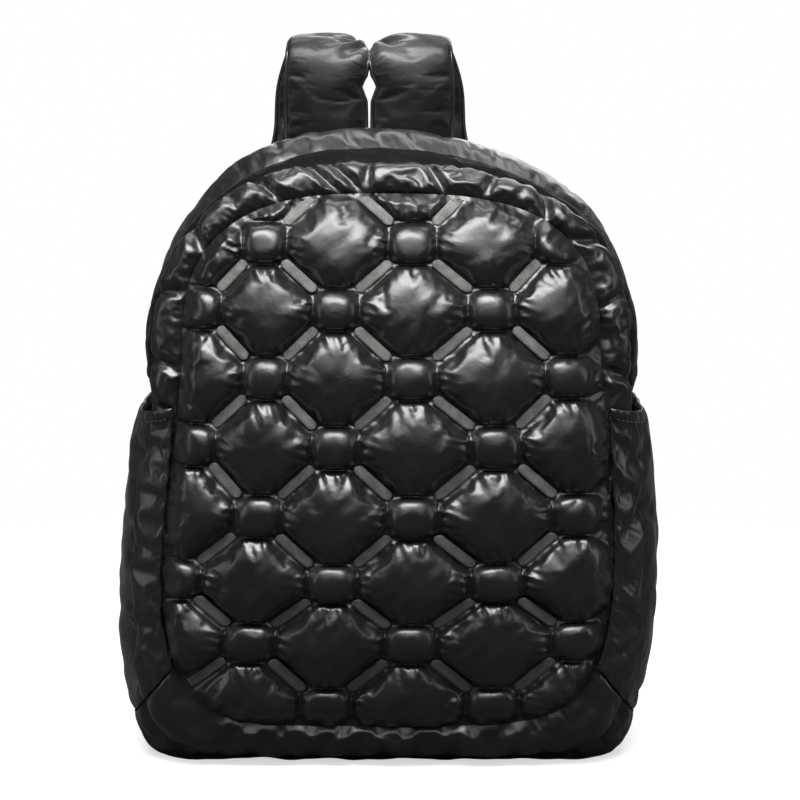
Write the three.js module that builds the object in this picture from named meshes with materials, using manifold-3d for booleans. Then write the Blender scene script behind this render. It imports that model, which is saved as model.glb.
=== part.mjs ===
// A quilted puffer backpack that stands upright, zipped shut. Millimetres, +Z up, the quilted front faces -Y.
// The origin is on the ground below the middle of the bag.
// The body is sewn from flat pieces along six rims, which run round the bag one behind the other.
// Every wall follows one smooth skin through those rims, so that pieces meet at their seams.
import * as THREE from "three";
import { mergeVertices } from "three/addons/utils/BufferGeometryUtils.js";
import Module from "manifold-3d";

const wasm = await Module();
wasm.setup();

// Body sizes
const bodyWidth = 320;
const bodyHeight = 388;
const bodyDepth = 112;
const springHeight = 255; // where the straight sides end and the arch begins
const midSway = 5; // the soft bag leans a little to the right at mid-height
const topSway = -11.4; // and to the left at its top
const wall = 2.4; // lightly padded nylon
const seamWall = 1.2; // the same wall, pressed flat in a seam
const seamGap = 0.4;

// Quilted front panel
const panelDome = 20;
const domeSquareAcross = 2.4; // how flat the dome stays before it falls to the seam
const domeSquareUp = 2.6;
const panelWall = 2.2; // the panel where its ribbons are pressed flat
const pitchAcross = 47.8; // from one puff to the next, to the side, at half the bag's height
const pitchSpread = 0.16; // the pitch grows by this share from the top to the bottom
const pitchUp = 40.4; // from one puff to the next, upwards
const quiltX = 15; // a large puff's centre, before the bag sways
const quiltZ = 202;
const ribbonWidth = 5.5;
const ribbonLength = 30;
const puffHeight = 11;
const knotHeight = 6.5; // the small puffs where four ribbons point at each other
const knotRadius = 17;
const puffShoulder = 0.15; // share of a puff where its steep edge ends
const panelEdge = 16; // the puffs fade out this far inside the seam

// Puffy border and lower band
const borderPuff = 8;
const creaseWidth = 11;
const basePuff = 3;
const flatBorder = 0.25; // share of the border's fullness left under a pocket

// Back panel
const backPad = 9;
const backDome = 7;

// Zip over the top
const zipEnd = 0.262; // share of the way round, where the zip starts and ends
const zipTapeWidth = 22;
const zipTapeWall = 1;
const zipHalfRow = 0.36; // rows from the zip line to each edge of its tape
const zipCoilWidth = 6;
const zipCoilTop = 0.6; // share of the coil's width that is its flat top
const zipCoilHeight = 2.2;
const sliderLength = 11;
const sliderWidth = 9;
const sliderHeight = 4;
const pullLength = 24;
const pullWidth = 6;
const sliderPlace = 0.485; // share of the way round

// Side pockets
const cornerEnd = 0.128; // share of the way round, where the base meets the sides
const pocketHeight = 218;
const pocketWall = 1.5;
const pocketSlack = 4.5;
const pocketClear = 1.3;
const pocketFoot = 0.001; // share of the way round, from the base's corner to the pocket
const pocketEdge = 0.03; // rows from the seams to the pocket's edges
const sideDish = 6; // the body's side gives way behind the pocket's mouth

// Shoulder straps
const strapWidth = 51;
const strapThickness = 17;
const strapBow = 14; // how far the straps stand off the back, up high
const strapRise = 54; // the loop above the body
const strapSplay = 64; // how far the lower end stands outside the root
const strapEndWidth = 0.72; // share of strapWidth at the lower end
const strapEdge = 0.8; // half the thickness along its edges
const strapLoopDepth = 36; // front leg to back leg
const strapGap = 5.5; // between the two straps at their roots
const strapGather = 1.6;
const webWidth = 20;
const webThickness = 1.6;
const webAnchorHeight = 26;
const anchorInset = 30; // from the bag's side to the middle of the webbing's sewn end
const tailLength = 62;
const adjusterWidth = 30;
const adjusterHeight = 26;
const adjusterThickness = 3.2;
const adjusterBar = 4;

// The six rims, from the panel's seam at the front to the back seam.
// side and low are half widths at the spring height and low down, as shares of bodyWidth.
// top and bottom are heights, as shares of bodyHeight. arch and foot say how square the rim is above and below.
const rims = [
  { name: "panel seam", side: 0.393, low: 0.452, top: 0.908, bottom: 0.07, arch: 2.9, foot: 5 },
  { name: "front seam", side: 0.448, low: 0.48, top: 0.952, bottom: 0.02, arch: 2.4, foot: 8 },
  { name: "front ridge", side: 0.466, low: 0.496, top: 0.977, bottom: -0.012, arch: 2.2, foot: 9 },
  { name: "zip line", side: 0.469, low: 0.5, top: 0.96, bottom: -0.016, arch: 2.2, foot: 9 },
  { name: "back ridge", side: 0.466, low: 0.496, top: 0.989, bottom: -0.012, arch: 2.2, foot: 9 },
  { name: "back seam", side: 0.451, low: 0.48, top: 0.967, bottom: 0.015, arch: 2.25, foot: 8 },
];

// How far back each rim lies at its foot, half-way up and at its top, as shares of bodyDepth.
const rimDepths = [
  { name: "panel seam", foot: -0.55, middle: -0.535, top: -0.34 },
  { name: "front seam", foot: -0.46, middle: -0.41, top: -0.25 },
  { name: "front ridge", foot: -0.32, middle: -0.27, top: -0.16 },
  { name: "zip line", foot: 0, middle: 0, top: 0.04 },
  { name: "back ridge", foot: 0.32, middle: 0.3, top: 0.28 },
  { name: "back seam", foot: 0.464, middle: 0.464, top: 0.41 },
];
const [PANEL_SEAM, FRONT_SEAM, , ZIP_LINE, , BACK_SEAM] = rims.keys();

// Tucks that pull the border in, by their place round the bag (0 and 1 are the middle of the base,
// 0.5 the middle of the top) and their depth as a share of borderPuff.
const borderTucks = [
  { at: 0.2, depth: 0.35 },
  { at: 0.246, depth: 0.6 },
  { at: 0.29, depth: 0.7 },
  { at: 0.334, depth: 0.5 },
  { at: 0.372, depth: 0.85 },
  { at: 0.404, depth: 0.95 },
  { at: 0.436, depth: 0.55 },
  { at: 0.468, depth: 0.7 },
  { at: 0.508, depth: 0.5 },
  { at: 0.536, depth: 0.8 },
  { at: 0.572, depth: 0.75 },
  { at: 0.626, depth: 0.8 },
  { at: 0.662, depth: 0.7 },
  { at: 0.704, depth: 0.6 },
  { at: 0.748, depth: 0.75 },
  { at: 0.8, depth: 0.35 },
];

// A strap's middle line over its loop: outwards as a share of strapSplay, back as a share of strapLoopDepth,
// and up from the top of the bag as a share of strapRise.
const strapLoop = [
  { name: "sewn root", out: 0, back: 0, up: -0.48 },
  { name: "seam", out: 0, back: 0, up: 0.07 },
  { name: "front leg", out: 0, back: 0.03, up: 0.5 },
  { name: "front bend", out: -0.016, back: 0.16, up: 0.71 },
  { name: "crest", out: -0.03, back: 0.5, up: 0.843 },
  { name: "back bend", out: 0, back: 0.88, up: 0.683 },
  { name: "back leg", out: 0.1, back: 1, up: 0.3 },
  { name: "behind the seam", out: 0.14, back: 0.95, up: -0.28 },
];

// The same line down the back: bow as a share of strapBow, up as a share of bodyHeight.
const strapDrop = [
  { name: "shoulder", out: 0.42, bow: 1, up: 0.8 },
  { name: "middle", out: 0.7, bow: 0.6, up: 0.6 },
  { name: "lower end", out: 1, bow: 0.3, up: 0.443 },
];

// The loose end of each strap's webbing, as shares of tailLength: outwards, backwards and up.
const looseTails = {
  right: [[0.2, 0.16, -0.3], [0.62, 0.14, -0.12], [1.12, 0, 0.3]],
  left: [[0.02, 0.06, -0.35], [0.03, 0.04, -0.7], [0.04, 0, -1]],
};

const nylon = { color: 0x1b1a19, roughness: 0.32, metalness: 0 };
const webbing = { color: 0x141414, roughness: 0.8, metalness: 0 };
const plastic = { color: 0x101010, roughness: 0.45, metalness: 0 };

const smooth = THREE.MathUtils.smoothstep;
const lerp = THREE.MathUtils.lerp;

// Sideways lean of the soft body at a height.
function sway(z) {
  const share = z / bodyHeight;
  return midSway * smooth(share, 0, 0.6) + (topSway - midSway) * smooth(share, 0.86, 1.04);
}

// Triangles with shared vertices, turned to face outwards.
function closed(geometry) {
  geometry.deleteAttribute("normal");
  geometry.deleteAttribute("uv");
  const merged = mergeVertices(geometry, 1e-4);
  const at = (i) => new THREE.Vector3().fromBufferAttribute(merged.attributes.position, merged.index.getX(i));
  let volume = 0;
  for (let i = 0; i < merged.index.count; i += 3) volume += at(i).dot(at(i + 1).cross(at(i + 2)));
  if (volume < 0) merged.setIndex(Array.from(merged.index.array).reverse());
  return merged;
}

// A closed wall: a box of stepsU by stepsV cells whose corners go where place(u, v, w) says, each from 0 to 1.
function bentBox(stepsU, stepsV, place) {
  const box = new THREE.BoxGeometry(1, 1, 1, stepsU, stepsV, 1);
  const position = box.attributes.position;
  for (let i = 0; i < position.count; i++) {
    const u = Math.round((position.getX(i) + 0.5) * stepsU) / stepsU;
    const v = Math.round((position.getY(i) + 0.5) * stepsV) / stepsV;
    const w = Math.round(position.getZ(i) + 0.5);
    position.setXYZ(i, ...place(u, v, w).toArray());
  }
  return closed(box);
}

// The same shape, leaning as the soft body does.
function swayed(geometry) {
  const position = geometry.attributes.position;
  for (let i = 0; i < position.count; i++) {
    position.setX(i, position.getX(i) + sway(position.getZ(i)));
  }
  return geometry;
}

function toSolid(geometry) {
  const { position } = geometry.attributes;
  const mesh = new wasm.Mesh({
    numProp: 3,
    vertProperties: new Float32Array(position.array),
    triVerts: new Uint32Array(geometry.index.array),
  });
  return new wasm.Manifold(mesh);
}

function toGeometry(solid) {
  const { vertProperties, triVerts } = solid.getMesh();
  return new THREE.BufferGeometry()
    .setAttribute("position", new THREE.BufferAttribute(new Float32Array(vertProperties), 3))
    .setIndex(new THREE.BufferAttribute(new Uint32Array(triVerts), 1));
}

function mesh(name, geometry, finish) {
  const made = new THREE.Mesh(geometry, new THREE.MeshStandardMaterial(finish));
  made.name = name;
  return made;
}

// Depth of a rim at a height, on the parabola through its foot, middle and top.
function depthAt(rim, z) {
  const share = THREE.MathUtils.clamp(z / bodyHeight, 0, 1);
  const { foot, middle, top } = rimDepths[rims.indexOf(rim)];
  const nearFoot = 2 * (share - 0.5) * (share - 1);
  const nearMiddle = -4 * share * (share - 1);
  const nearTop = 2 * share * (share - 0.5);
  return bodyDepth * (foot * nearFoot + middle * nearMiddle + top * nearTop);
}

// A quarter of a rim, a superellipse from the side to the middle of the top or bottom, as a path by length.
function quarterPath(halfWidth, flare, rise, power) {
  const corners = 96;
  const points = [];
  for (let i = 0; i <= corners; i++) {
    const angle = (i / corners) * (Math.PI / 2);
    const up = Math.sin(angle) ** (2 / power);
    const out = Math.cos(angle) ** (2 / power);
    points.push(new THREE.Vector2((halfWidth + flare * Math.abs(up)) * out, rise * up));
  }
  points.at(-1).x = 0;
  return new THREE.Path(points);
}

const springShare = 0.3; // the spring height's place, as a share of the way round
for (const rim of rims) {
  const side = rim.side * bodyWidth;
  const flare = (rim.low - rim.side) * bodyWidth;
  rim.archPath = quarterPath(side, 0, rim.top * bodyHeight - springHeight, rim.arch);
  rim.footPath = quarterPath(side, flare, rim.bottom * bodyHeight - springHeight, rim.foot);
}

// A point of a rim. The share goes round from the middle of the base (0) over the right side (+X)
// and the top (0.5) back to the base (1).
function rimPoint(rim, share) {
  const half = share > 0.5 ? 1 - share : share;
  const low = Math.abs(half) < springShare;
  const { x, y } = low
    ? rim.footPath.getPoint(1 - Math.abs(half) / springShare)
    : rim.archPath.getPoint((half - springShare) / (0.5 - springShare));
  const z = springHeight + y;
  const across = share > 0.5 || share < 0 ? -x : x;
  return new THREE.Vector3(across, depthAt(rim, z), z);
}

// The smooth skin through the rims: share goes round the bag and row runs from rim to rim, 0 to 5.
function skin(share, row) {
  const section = new THREE.CatmullRomCurve3(rims.map((rim) => rimPoint(rim, share)));
  return section.getPoint(row / (rims.length - 1));
}

// The skin's point and its outward normal.
function skinFrame(share, row) {
  const step = 0.004;
  const at = skin(share, row);
  const round = skin(share + step, row).sub(skin(share - step, row));
  const lowRow = Math.max(row - step, 0);
  const highRow = Math.min(row + step, rims.length - 1);
  const across = skin(share, highRow).sub(skin(share, lowRow));
  return { at, out: across.cross(round).normalize() };
}

// A point at a distance off the skin, kept above the ground plane that the bag's weight flattens it on.
function offSkin(share, row, distance, ground = 0) {
  const { at, out } = skinFrame(share, row);
  const point = at.addScaledVector(out, distance);
  point.z = Math.max(point.z, ground);
  return point;
}

// Share of the full padding between two seams: none at either seam, all of it in the middle.
function crown(v) {
  return Math.sqrt(Math.max(0, 1 - (2 * v - 1) ** 2));
}

// A sewn wall on the skin, from one share and row to another, with a puff outside and padding inside.
function skinWall({ from, to, rowFrom, rowTo, steps, rowSteps, puff }) {
  const length = skin((from + to) / 2, rowTo).distanceTo(skin((from + to) / 2, rowFrom));
  const round = Math.abs(to - from) * Math.PI * springHeight;
  const insetV = seamGap / length;
  const insetU = seamGap / round;
  return bentBox(steps, rowSteps, (u, v, w) => {
    const share = lerp(from, to, lerp(insetU, 1 - insetU, u));
    const row = lerp(rowFrom, rowTo, lerp(insetV, 1 - insetV, v));
    const thickness = lerp(seamWall, wall, crown(v));
    const full = puff(share, row);
    return w ? offSkin(share, row, full) : offSkin(share, row, Math.min(full, 0) - thickness, thickness);
  });
}

// How full the border is: tucks pull it in, and it lies flatter under the pockets.
function borderFill(share) {
  const height = skin(share, FRONT_SEAM).z;
  const underPocket = lerp(flatBorder, 1, smooth(height, pocketHeight - 12, pocketHeight + 22));
  const roundLength = 2 * (bodyHeight + bodyWidth);
  const tucked = borderTucks.reduce((fill, tuck) => {
    const away = ((share - tuck.at) * roundLength) / creaseWidth;
    return fill * (1 - tuck.depth * Math.exp(-away * away));
  }, 1);
  return underPocket * tucked;
}

// The body's side gives way behind a pocket's mouth.
function sideGive(share, row) {
  const height = skin(share, row).z;
  const behindPocket = smooth(height, 60, 150) * (1 - smooth(height, pocketHeight + 2, pocketHeight + 26));
  return -sideDish * behindPocket * crown((row - FRONT_SEAM) / (BACK_SEAM - FRONT_SEAM));
}

function borderBulge(share, row) {
  return row < FRONT_SEAM ? borderPuff * borderFill(share) * crown(row) : 0;
}

// How far inside the panel's seam a point is, nearly in millimetres; negative outside.
function insidePanel(x, z) {
  const rim = rims[PANEL_SEAM];
  const high = z > springHeight;
  const rise = high ? rim.top * bodyHeight - springHeight : springHeight - rim.bottom * bodyHeight;
  const up = Math.abs(z - springHeight) / rise;
  const halfWidth = bodyWidth * (high ? rim.side : lerp(rim.side, rim.low, Math.min(up, 1)));
  const power = high ? rim.arch : rim.foot;
  const reach = (Math.abs(x / halfWidth) ** power + up ** power) ** (1 / power);
  return (1 - reach) * Math.min(halfWidth, rise);
}

// The front panel's own surface, without its puffs.
function panelDepth(x, z) {
  const rim = rims[PANEL_SEAM];
  const low = rim.bottom * bodyHeight;
  const high = rim.top * bodyHeight;
  const across = Math.min(Math.abs(x) / (rim.low * bodyWidth), 1);
  const up = Math.min(Math.abs((2 * z - low - high) / (high - low)), 1);
  return depthAt(rim, z) - panelDome * (1 - across ** domeSquareAcross) * (1 - up ** domeSquareUp);
}

// Quilt height at a place in the lattice whose whole numbers are the knots. Ribbons lie flat between them.
const latticeSide = Math.hypot(pitchAcross, pitchUp);
const latticeGap = (2 * pitchAcross * pitchUp) / latticeSide;
const ribbonHalf = ribbonWidth / 2 / latticeGap;
const ribbonStart = (1 - ribbonLength / latticeSide) / 2;
function quiltHeight(a, b) {
  const fromA = a - Math.floor(a);
  const fromB = b - Math.floor(b);
  const rise = (f) => {
    const inside = THREE.MathUtils.clamp((f - ribbonHalf) / (1 - 2 * ribbonHalf), 0, 1);
    return (4 * inside * (1 - inside)) ** 0.6;
  };
  const puff = puffHeight * rise(fromA) * rise(fromB);
  const nearA = Math.min(fromA, 1 - fromA);
  const nearB = Math.min(fromB, 1 - fromB);
  const away = Math.hypot(nearA * latticeSide, nearB * latticeSide) / knotRadius;
  return Math.max(puff, knotHeight * Math.max(0, 1 - away * away));
}

// A rim as a flat outline in x and z, drawn inwards by a distance, pushed through the bag's depth.
function rimPrism(rim, inset, front, back) {
  const outline = new THREE.Shape();
  const corners = 64;
  for (let i = 0; i < corners; i++) {
    const share = i / corners;
    const step = 0.003;
    const at = rimPoint(rim, share);
    const before = rimPoint(rim, (share + 1 - step) % 1);
    const after = rimPoint(rim, (share + step) % 1);
    const inward = new THREE.Vector2(before.z - after.z, after.x - before.x).normalize();
    const x = at.x + inward.x * inset;
    const z = at.z + inward.y * inset;
    if (i) outline.lineTo(x, z);
    else outline.moveTo(x, z);
  }
  outline.closePath();
  const prism = new THREE.ExtrudeGeometry(outline, { depth: back - front, bevelEnabled: false });
  prism.rotateX(Math.PI / 2);
  prism.translate(0, back, 0);
  return toSolid(closed(prism));
}

// A slab over the whole bag whose front and back follow two depth functions of x and z.
function slab(steps, frontDepth, backDepth) {
  const reach = bodyWidth * 0.6;
  const tall = bodyHeight * 1.1;
  return toSolid(
    bentBox(steps, steps, (u, v, w) => {
      const x = lerp(-reach, reach, u);
      const z = lerp(-0.05 * tall, tall, v);
      return new THREE.Vector3(x, w ? frontDepth(x, z) : backDepth(x, z), z);
    }),
  );
}

function makeFrontPanel() {
  const cuts = [-ribbonHalf, ribbonHalf, puffShoulder, ribbonStart, 0.5, 1 - ribbonStart, 1 - puffShoulder];
  const cells = Math.ceil((bodyWidth / pitchAcross + bodyHeight / pitchUp) / 2) + 1;
  const steps = cells * cuts.length;
  const first = -Math.floor(cells / 2);
  const lattice = (share) => {
    const index = Math.round(share * steps);
    return first + Math.floor(index / cuts.length) + cuts[index % cuts.length];
  };
  const farBack = bodyDepth;
  const quilt = bentBox(steps, steps, (u, v, w) => {
    const a = lattice(u);
    const b = lattice(v);
    const z = quiltZ + pitchUp * (a - b + 1);
    const spread = 1 + pitchSpread * (0.5 - z / bodyHeight);
    const x = quiltX + pitchAcross * spread * (a + b);
    const fade = smooth(insidePanel(x, z), 0, panelEdge);
    return new THREE.Vector3(x, w ? farBack : panelDepth(x, z) - fade * quiltHeight(a, b), z);
  });
  const backing = slab(14, (x, z) => panelDepth(x, z) + panelWall, () => 2 * farBack);
  const prism = rimPrism(rims[PANEL_SEAM], seamGap, -2 * farBack, 1.5 * farBack);
  return mesh("front_panel", swayed(toGeometry(toSolid(quilt).intersect(prism).subtract(backing))), nylon);
}

// How full the back panel's padding is at a place, from 0 at its seam to 1.
function backSwell(x, z) {
  const across = Math.min(Math.abs(x) / (rims[BACK_SEAM].side * bodyWidth), 1);
  const up = Math.min(Math.abs((2 * z) / bodyHeight - 1), 1);
  return (1 - across ** 4) * (1 - up ** 4);
}

// Depth of the back panel's edge, and of its outside face.
const backSeat = (z) => depthAt(rims[BACK_SEAM], z) + 2 * seamGap;
const backFace = (x, z) => backSeat(z) + seamWall + backDome * backSwell(x, z);

function makeBackPanel() {
  const inside = (x, z) => backSeat(z) - (backPad - seamWall) * backSwell(x, z);
  const prism = rimPrism(rims[BACK_SEAM], wall, -bodyDepth, 2 * bodyDepth);
  return mesh("back_panel", swayed(toGeometry(slab(10, inside, backFace).intersect(prism))), nylon);
}

function makeFrontBorder() {
  const border = skinWall({
    from: cornerEnd, to: 1 - cornerEnd, rowFrom: PANEL_SEAM, rowTo: FRONT_SEAM,
    steps: 72, rowSteps: 4, puff: borderBulge,
  });
  return mesh("front_border", swayed(border), nylon);
}

function makeBase() {
  const base = skinWall({
    from: -cornerEnd, to: cornerEnd, rowFrom: PANEL_SEAM, rowTo: BACK_SEAM,
    steps: 16, rowSteps: 10, puff: (share, row) => (row < FRONT_SEAM ? basePuff * crown(row) : 0),
  });
  return mesh("base_panel", swayed(base), nylon);
}

function makeGussets() {
  const arch = { from: zipEnd, to: 1 - zipEnd, steps: 32, puff: sideGive };
  const front = skinWall({ ...arch, rowFrom: FRONT_SEAM, rowTo: ZIP_LINE - zipHalfRow, rowSteps: 3 });
  const back = skinWall({ ...arch, rowFrom: ZIP_LINE + zipHalfRow, rowTo: BACK_SEAM, rowSteps: 3 });
  return [mesh("gusset_front", swayed(front), nylon), mesh("gusset_back", swayed(back), nylon)];
}

const tapeSteps = 32;
function makeZip() {
  const coilShare = zipCoilWidth / zipTapeWidth / 2;
  const across = [-1, -coilShare, -coilShare * zipCoilTop, coilShare * zipCoilTop, coilShare, 1];
  const rowInset = (1 - seamGap / zipTapeWidth) * zipHalfRow;
  const tape = bentBox(tapeSteps, across.length - 1, (u, v, w) => {
    const share = lerp(zipEnd, 1 - zipEnd, u);
    const place = across[Math.round(v * (across.length - 1))];
    const onCoil = Math.abs(place) < coilShare ? zipCoilHeight : 0;
    const sunk = sideGive(share, ZIP_LINE) - 2 * seamWall;
    return offSkin(share, ZIP_LINE + place * rowInset, w ? sunk + zipTapeWall + onCoil : sunk);
  });
  return mesh("zip_tape", swayed(tape), webbing);
}

function makeSides() {
  return ["right", "left"].map((side) => {
    const [from, to] = side === "right" ? [cornerEnd, zipEnd] : [1 - zipEnd, 1 - cornerEnd];
    const rows = { rowFrom: FRONT_SEAM, rowTo: BACK_SEAM, rowSteps: 8 };
    const panel = skinWall({ from, to, ...rows, steps: 9, puff: sideGive });
    return mesh(`side_panel_${side}`, swayed(panel), nylon);
  });
}

// The share at which the zip line reaches a height, found by halving.
function shareAtHeight(height) {
  let low = cornerEnd;
  let high = 0.5;
  for (let i = 0; i < 30; i++) {
    const middle = (low + high) / 2;
    if (skin(middle, ZIP_LINE).z < height) low = middle;
    else high = middle;
  }
  return (low + high) / 2;
}

// A patch pocket from the panel seam round the side to the back seam, open at its top.
function makePockets() {
  const mouthShare = shareAtHeight(pocketHeight);
  return ["right", "left"].map((side) => {
    const pocket = bentBox(9, 12, (u, v, w) => {
      const rise = lerp(cornerEnd + pocketFoot, mouthShare, u);
      const share = side === "right" ? rise : 1 - rise;
      const row = lerp(PANEL_SEAM + pocketEdge, BACK_SEAM - pocketEdge, v);
      const open = pocketSlack * Math.sin(Math.PI * u);
      const standOff = pocketClear + borderBulge(share, row) + open * crown(v);
      return offSkin(share, row, w ? standOff + pocketWall : standOff);
    });
    return mesh(`side_pocket_${side}`, swayed(pocket), nylon);
  });
}

// A flat strap along a path, of half widths and half thicknesses that depend on the share of the path.
function strapBox(stepsAcross, stepsAlong, path, widthways, halfWidthAt, halfThicknessAt) {
  return bentBox(stepsAcross, stepsAlong, (u, v, w) => {
    const middle = path.getPoint(v);
    const along = path.getTangent(v);
    const out = widthways.clone().cross(along).normalize();
    const across = along.clone().cross(out).normalize();
    const side = 2 * u - 1;
    return middle
      .addScaledVector(across, side * halfWidthAt(v))
      .addScaledVector(out, (w ? 1 : -1) * halfThicknessAt(v, side));
  });
}

// Middle line of a strap, from its sewn root up, over and down the back. side is 1 for right, -1 for left.
function strapPath(side) {
  const rootX = sway(bodyHeight) + side * (strapWidth + strapGap) / 2;
  const rootY = backSeat(bodyHeight) + strapThickness / 2 + 2 * seamWall;
  const sewnY = backFace(rootX, bodyHeight + strapLoop[0].up * strapRise) + strapEdge + seamWall;
  const over = strapLoop.map(({ out, back, up }, i) => new THREE.Vector3(
    rootX + side * out * strapSplay,
    i ? rootY + back * strapLoopDepth : sewnY,
    bodyHeight + up * strapRise,
  ));
  const down = strapDrop.map(({ out, bow, up }) => new THREE.Vector3(
    rootX + side * out * strapSplay,
    backFace(0, up * bodyHeight) + strapThickness / 2 + bow * strapBow,
    up * bodyHeight,
  ));
  return new THREE.CatmullRomCurve3([...over, ...down]);
}

// Half a strap's thickness: pressed flat at both ends, padded between, gathered into folds over the crest.
const crestShare = 0.4;
const crestLength = 0.09;
function strapHalfThickness(v, across) {
  const padded = Math.min(smooth(v, 0, 0.1), 1 - smooth(v, 0.95, 1));
  const full = lerp(seamWall, strapThickness / 2 - strapEdge, padded);
  const crest = Math.exp(-(((v - crestShare) / crestLength) ** 2));
  const gather = strapGather * crest * Math.cos(across * 3 * Math.PI) * (1 - across * across);
  return strapEdge + full * crown((across + 1) / 2) * (1 - 0.12 * crest) + gather;
}

const strapStepsAcross = 6;
const strapStepsAlong = 28;
function makeStrap(side) {
  const name = side > 0 ? "shoulder_strap_right" : "shoulder_strap_left";
  const halfWidth = (v) => (strapWidth / 2) * lerp(1, strapEndWidth, smooth(v, 0.7, 1));
  const widthways = new THREE.Vector3(1, 0, 0);
  const strap = strapBox(
    strapStepsAcross, strapStepsAlong, strapPath(side), widthways, halfWidth, strapHalfThickness,
  );
  return mesh(name, strap, nylon);
}

// A ladder buckle under the strap's end: a plain frame with a middle bar for the webbing.
function adjusterPlace(side) {
  const path = strapPath(side);
  const end = path.getPointAt(1);
  const along = path.getTangentAt(1);
  const across = new THREE.Vector3(1, 0, 0).addScaledVector(along, -along.x).normalize();
  const out = across.clone().cross(along).normalize().multiplyScalar(-1);
  return { end, along, across, out };
}

function makeAdjuster(side) {
  const name = side > 0 ? "strap_adjuster_right" : "strap_adjuster_left";
  const frame = new THREE.Shape();
  const halfWidth = adjusterWidth / 2;
  const halfHeight = adjusterHeight / 2;
  frame.moveTo(-halfWidth, -halfHeight).lineTo(halfWidth, -halfHeight);
  frame.lineTo(halfWidth, halfHeight).lineTo(-halfWidth, halfHeight).closePath();
  const slotHalf = (adjusterHeight - 3 * adjusterBar) / 4;
  for (const middle of [-1, 1].map((s) => s * (adjusterBar / 2 + slotHalf))) {
    const slot = new THREE.Path();
    const slotWide = halfWidth - adjusterBar;
    slot.moveTo(-slotWide, middle - slotHalf).lineTo(slotWide, middle - slotHalf);
    slot.lineTo(slotWide, middle + slotHalf).lineTo(-slotWide, middle + slotHalf).closePath();
    frame.holes.push(slot);
  }
  const plate = new THREE.ExtrudeGeometry(frame, { depth: adjusterThickness, bevelEnabled: false });
  plate.translate(0, 0, -adjusterThickness / 2);
  const { end, along, across } = adjusterPlace(side);
  const upwards = along.clone().negate();
  plate.applyMatrix4(new THREE.Matrix4().makeBasis(across, upwards, across.clone().cross(upwards)));
  const place = end.clone().addScaledVector(along, adjusterHeight / 2 + seamGap);
  plate.translate(place.x, place.y, place.z);
  return mesh(name, closed(plate), plastic);
}

// Webbing from the back seam's lower corner up to the buckle, round its middle bar, ending in a loose tail.
const webSteps = 40;
function makeWebbing(side) {
  const name = side > 0 ? "strap_webbing_right" : "strap_webbing_left";
  const { end, along, across, out } = adjusterPlace(side);
  const tail = looseTails[side > 0 ? "right" : "left"];
  const bar = end.clone().addScaledVector(along, adjusterHeight / 2 + seamGap);
  const clear = adjusterThickness / 2 + webThickness / 2 + 1.5 * seamGap;
  const near = (down, away) => bar.clone().addScaledVector(along, down).addScaledVector(out, away);
  const seam = rims[BACK_SEAM];
  const anchor = new THREE.Vector3(
    side * (seam.low * bodyWidth - anchorInset),
    backFace(seam.low * bodyWidth - anchorInset, webAnchorHeight) + webThickness / 2 + 2 * seamGap,
    webAnchorHeight,
  );
  const low = near(adjusterHeight * 0.9, -clear);
  const path = new THREE.CatmullRomCurve3([
    anchor,
    anchor.clone().lerp(low, 0.5).add(new THREE.Vector3(side * 3, 5, 0)),
    low,
    near(adjusterHeight / 2, -clear),
    near(-adjusterBar / 2, -clear),
    near(-adjusterBar / 2 - clear, 0),
    near(-adjusterBar / 2, clear),
    near(adjusterHeight / 2, clear + 1),
    ...tail.map(([toSide, back, up]) => near(adjusterHeight / 2, clear + 1)
      .add(new THREE.Vector3(side * toSide * tailLength, back * tailLength, up * tailLength))),
  ]);
  const web = strapBox(1, webSteps, path, across, () => webWidth / 2, () => webThickness / 2);
  return mesh(name, web, webbing);
}

// A plain slider with its pull lying along the zip, in the dip between the two ridges.
function makeSlider() {
  const { at, out } = skinFrame(sliderPlace, ZIP_LINE);
  const ahead = skin(sliderPlace + pullLength / 1000, ZIP_LINE);
  const along = ahead.sub(at).projectOnPlane(out).normalize();
  const outline = new THREE.Shape();
  const half = sliderWidth / 2;
  outline.moveTo(-sliderLength / 2, -half).lineTo(sliderLength / 2, -half);
  outline.lineTo(sliderLength / 2, -pullWidth / 2).lineTo(sliderLength / 2 + pullLength, -pullWidth / 2);
  outline.lineTo(sliderLength / 2 + pullLength, pullWidth / 2).lineTo(sliderLength / 2, pullWidth / 2);
  outline.lineTo(sliderLength / 2, half).lineTo(-sliderLength / 2, half).closePath();
  const body = new THREE.ExtrudeGeometry(outline, { depth: sliderHeight, bevelEnabled: false });
  body.applyMatrix4(new THREE.Matrix4().makeBasis(along, out.clone().cross(along), out));
  const seat = at.addScaledVector(out, zipCoilHeight + zipTapeWall - 2 * seamWall + seamGap);
  body.translate(seat.x + sway(seat.z), seat.y, seat.z);
  return mesh("zip_slider", closed(body), plastic);
}

const bag = new THREE.Group();
bag.add(
  makeFrontPanel(), makeFrontBorder(), makeBase(), makeBackPanel(), ...makeGussets(), makeZip(), makeSlider(),
  ...makeSides(), ...makePockets(),
);
for (const side of [1, -1]) bag.add(makeStrap(side), makeAdjuster(side), makeWebbing(side));

// The origin's depth is the middle of the whole bag, straps included.
const reach = new THREE.Box3().setFromObject(bag);
bag.position.set(-(reach.min.x + reach.max.x) / 2, -(reach.min.y + reach.max.y) / 2, 0);

export default bag;
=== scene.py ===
"""Looks of the quilted puffer backpack: its cloth, trims, finishes, studio and camera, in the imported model's frame.

Shapes are worked out in millimetres on the same curves as the CAD model, and every mesh is in metres.
"""
import logging
import math
from dataclasses import dataclass
from enum import Enum
from typing import Callable, Sequence

import bmesh
import bpy
import numpy as np
from mathutils import Matrix, Vector


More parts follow.
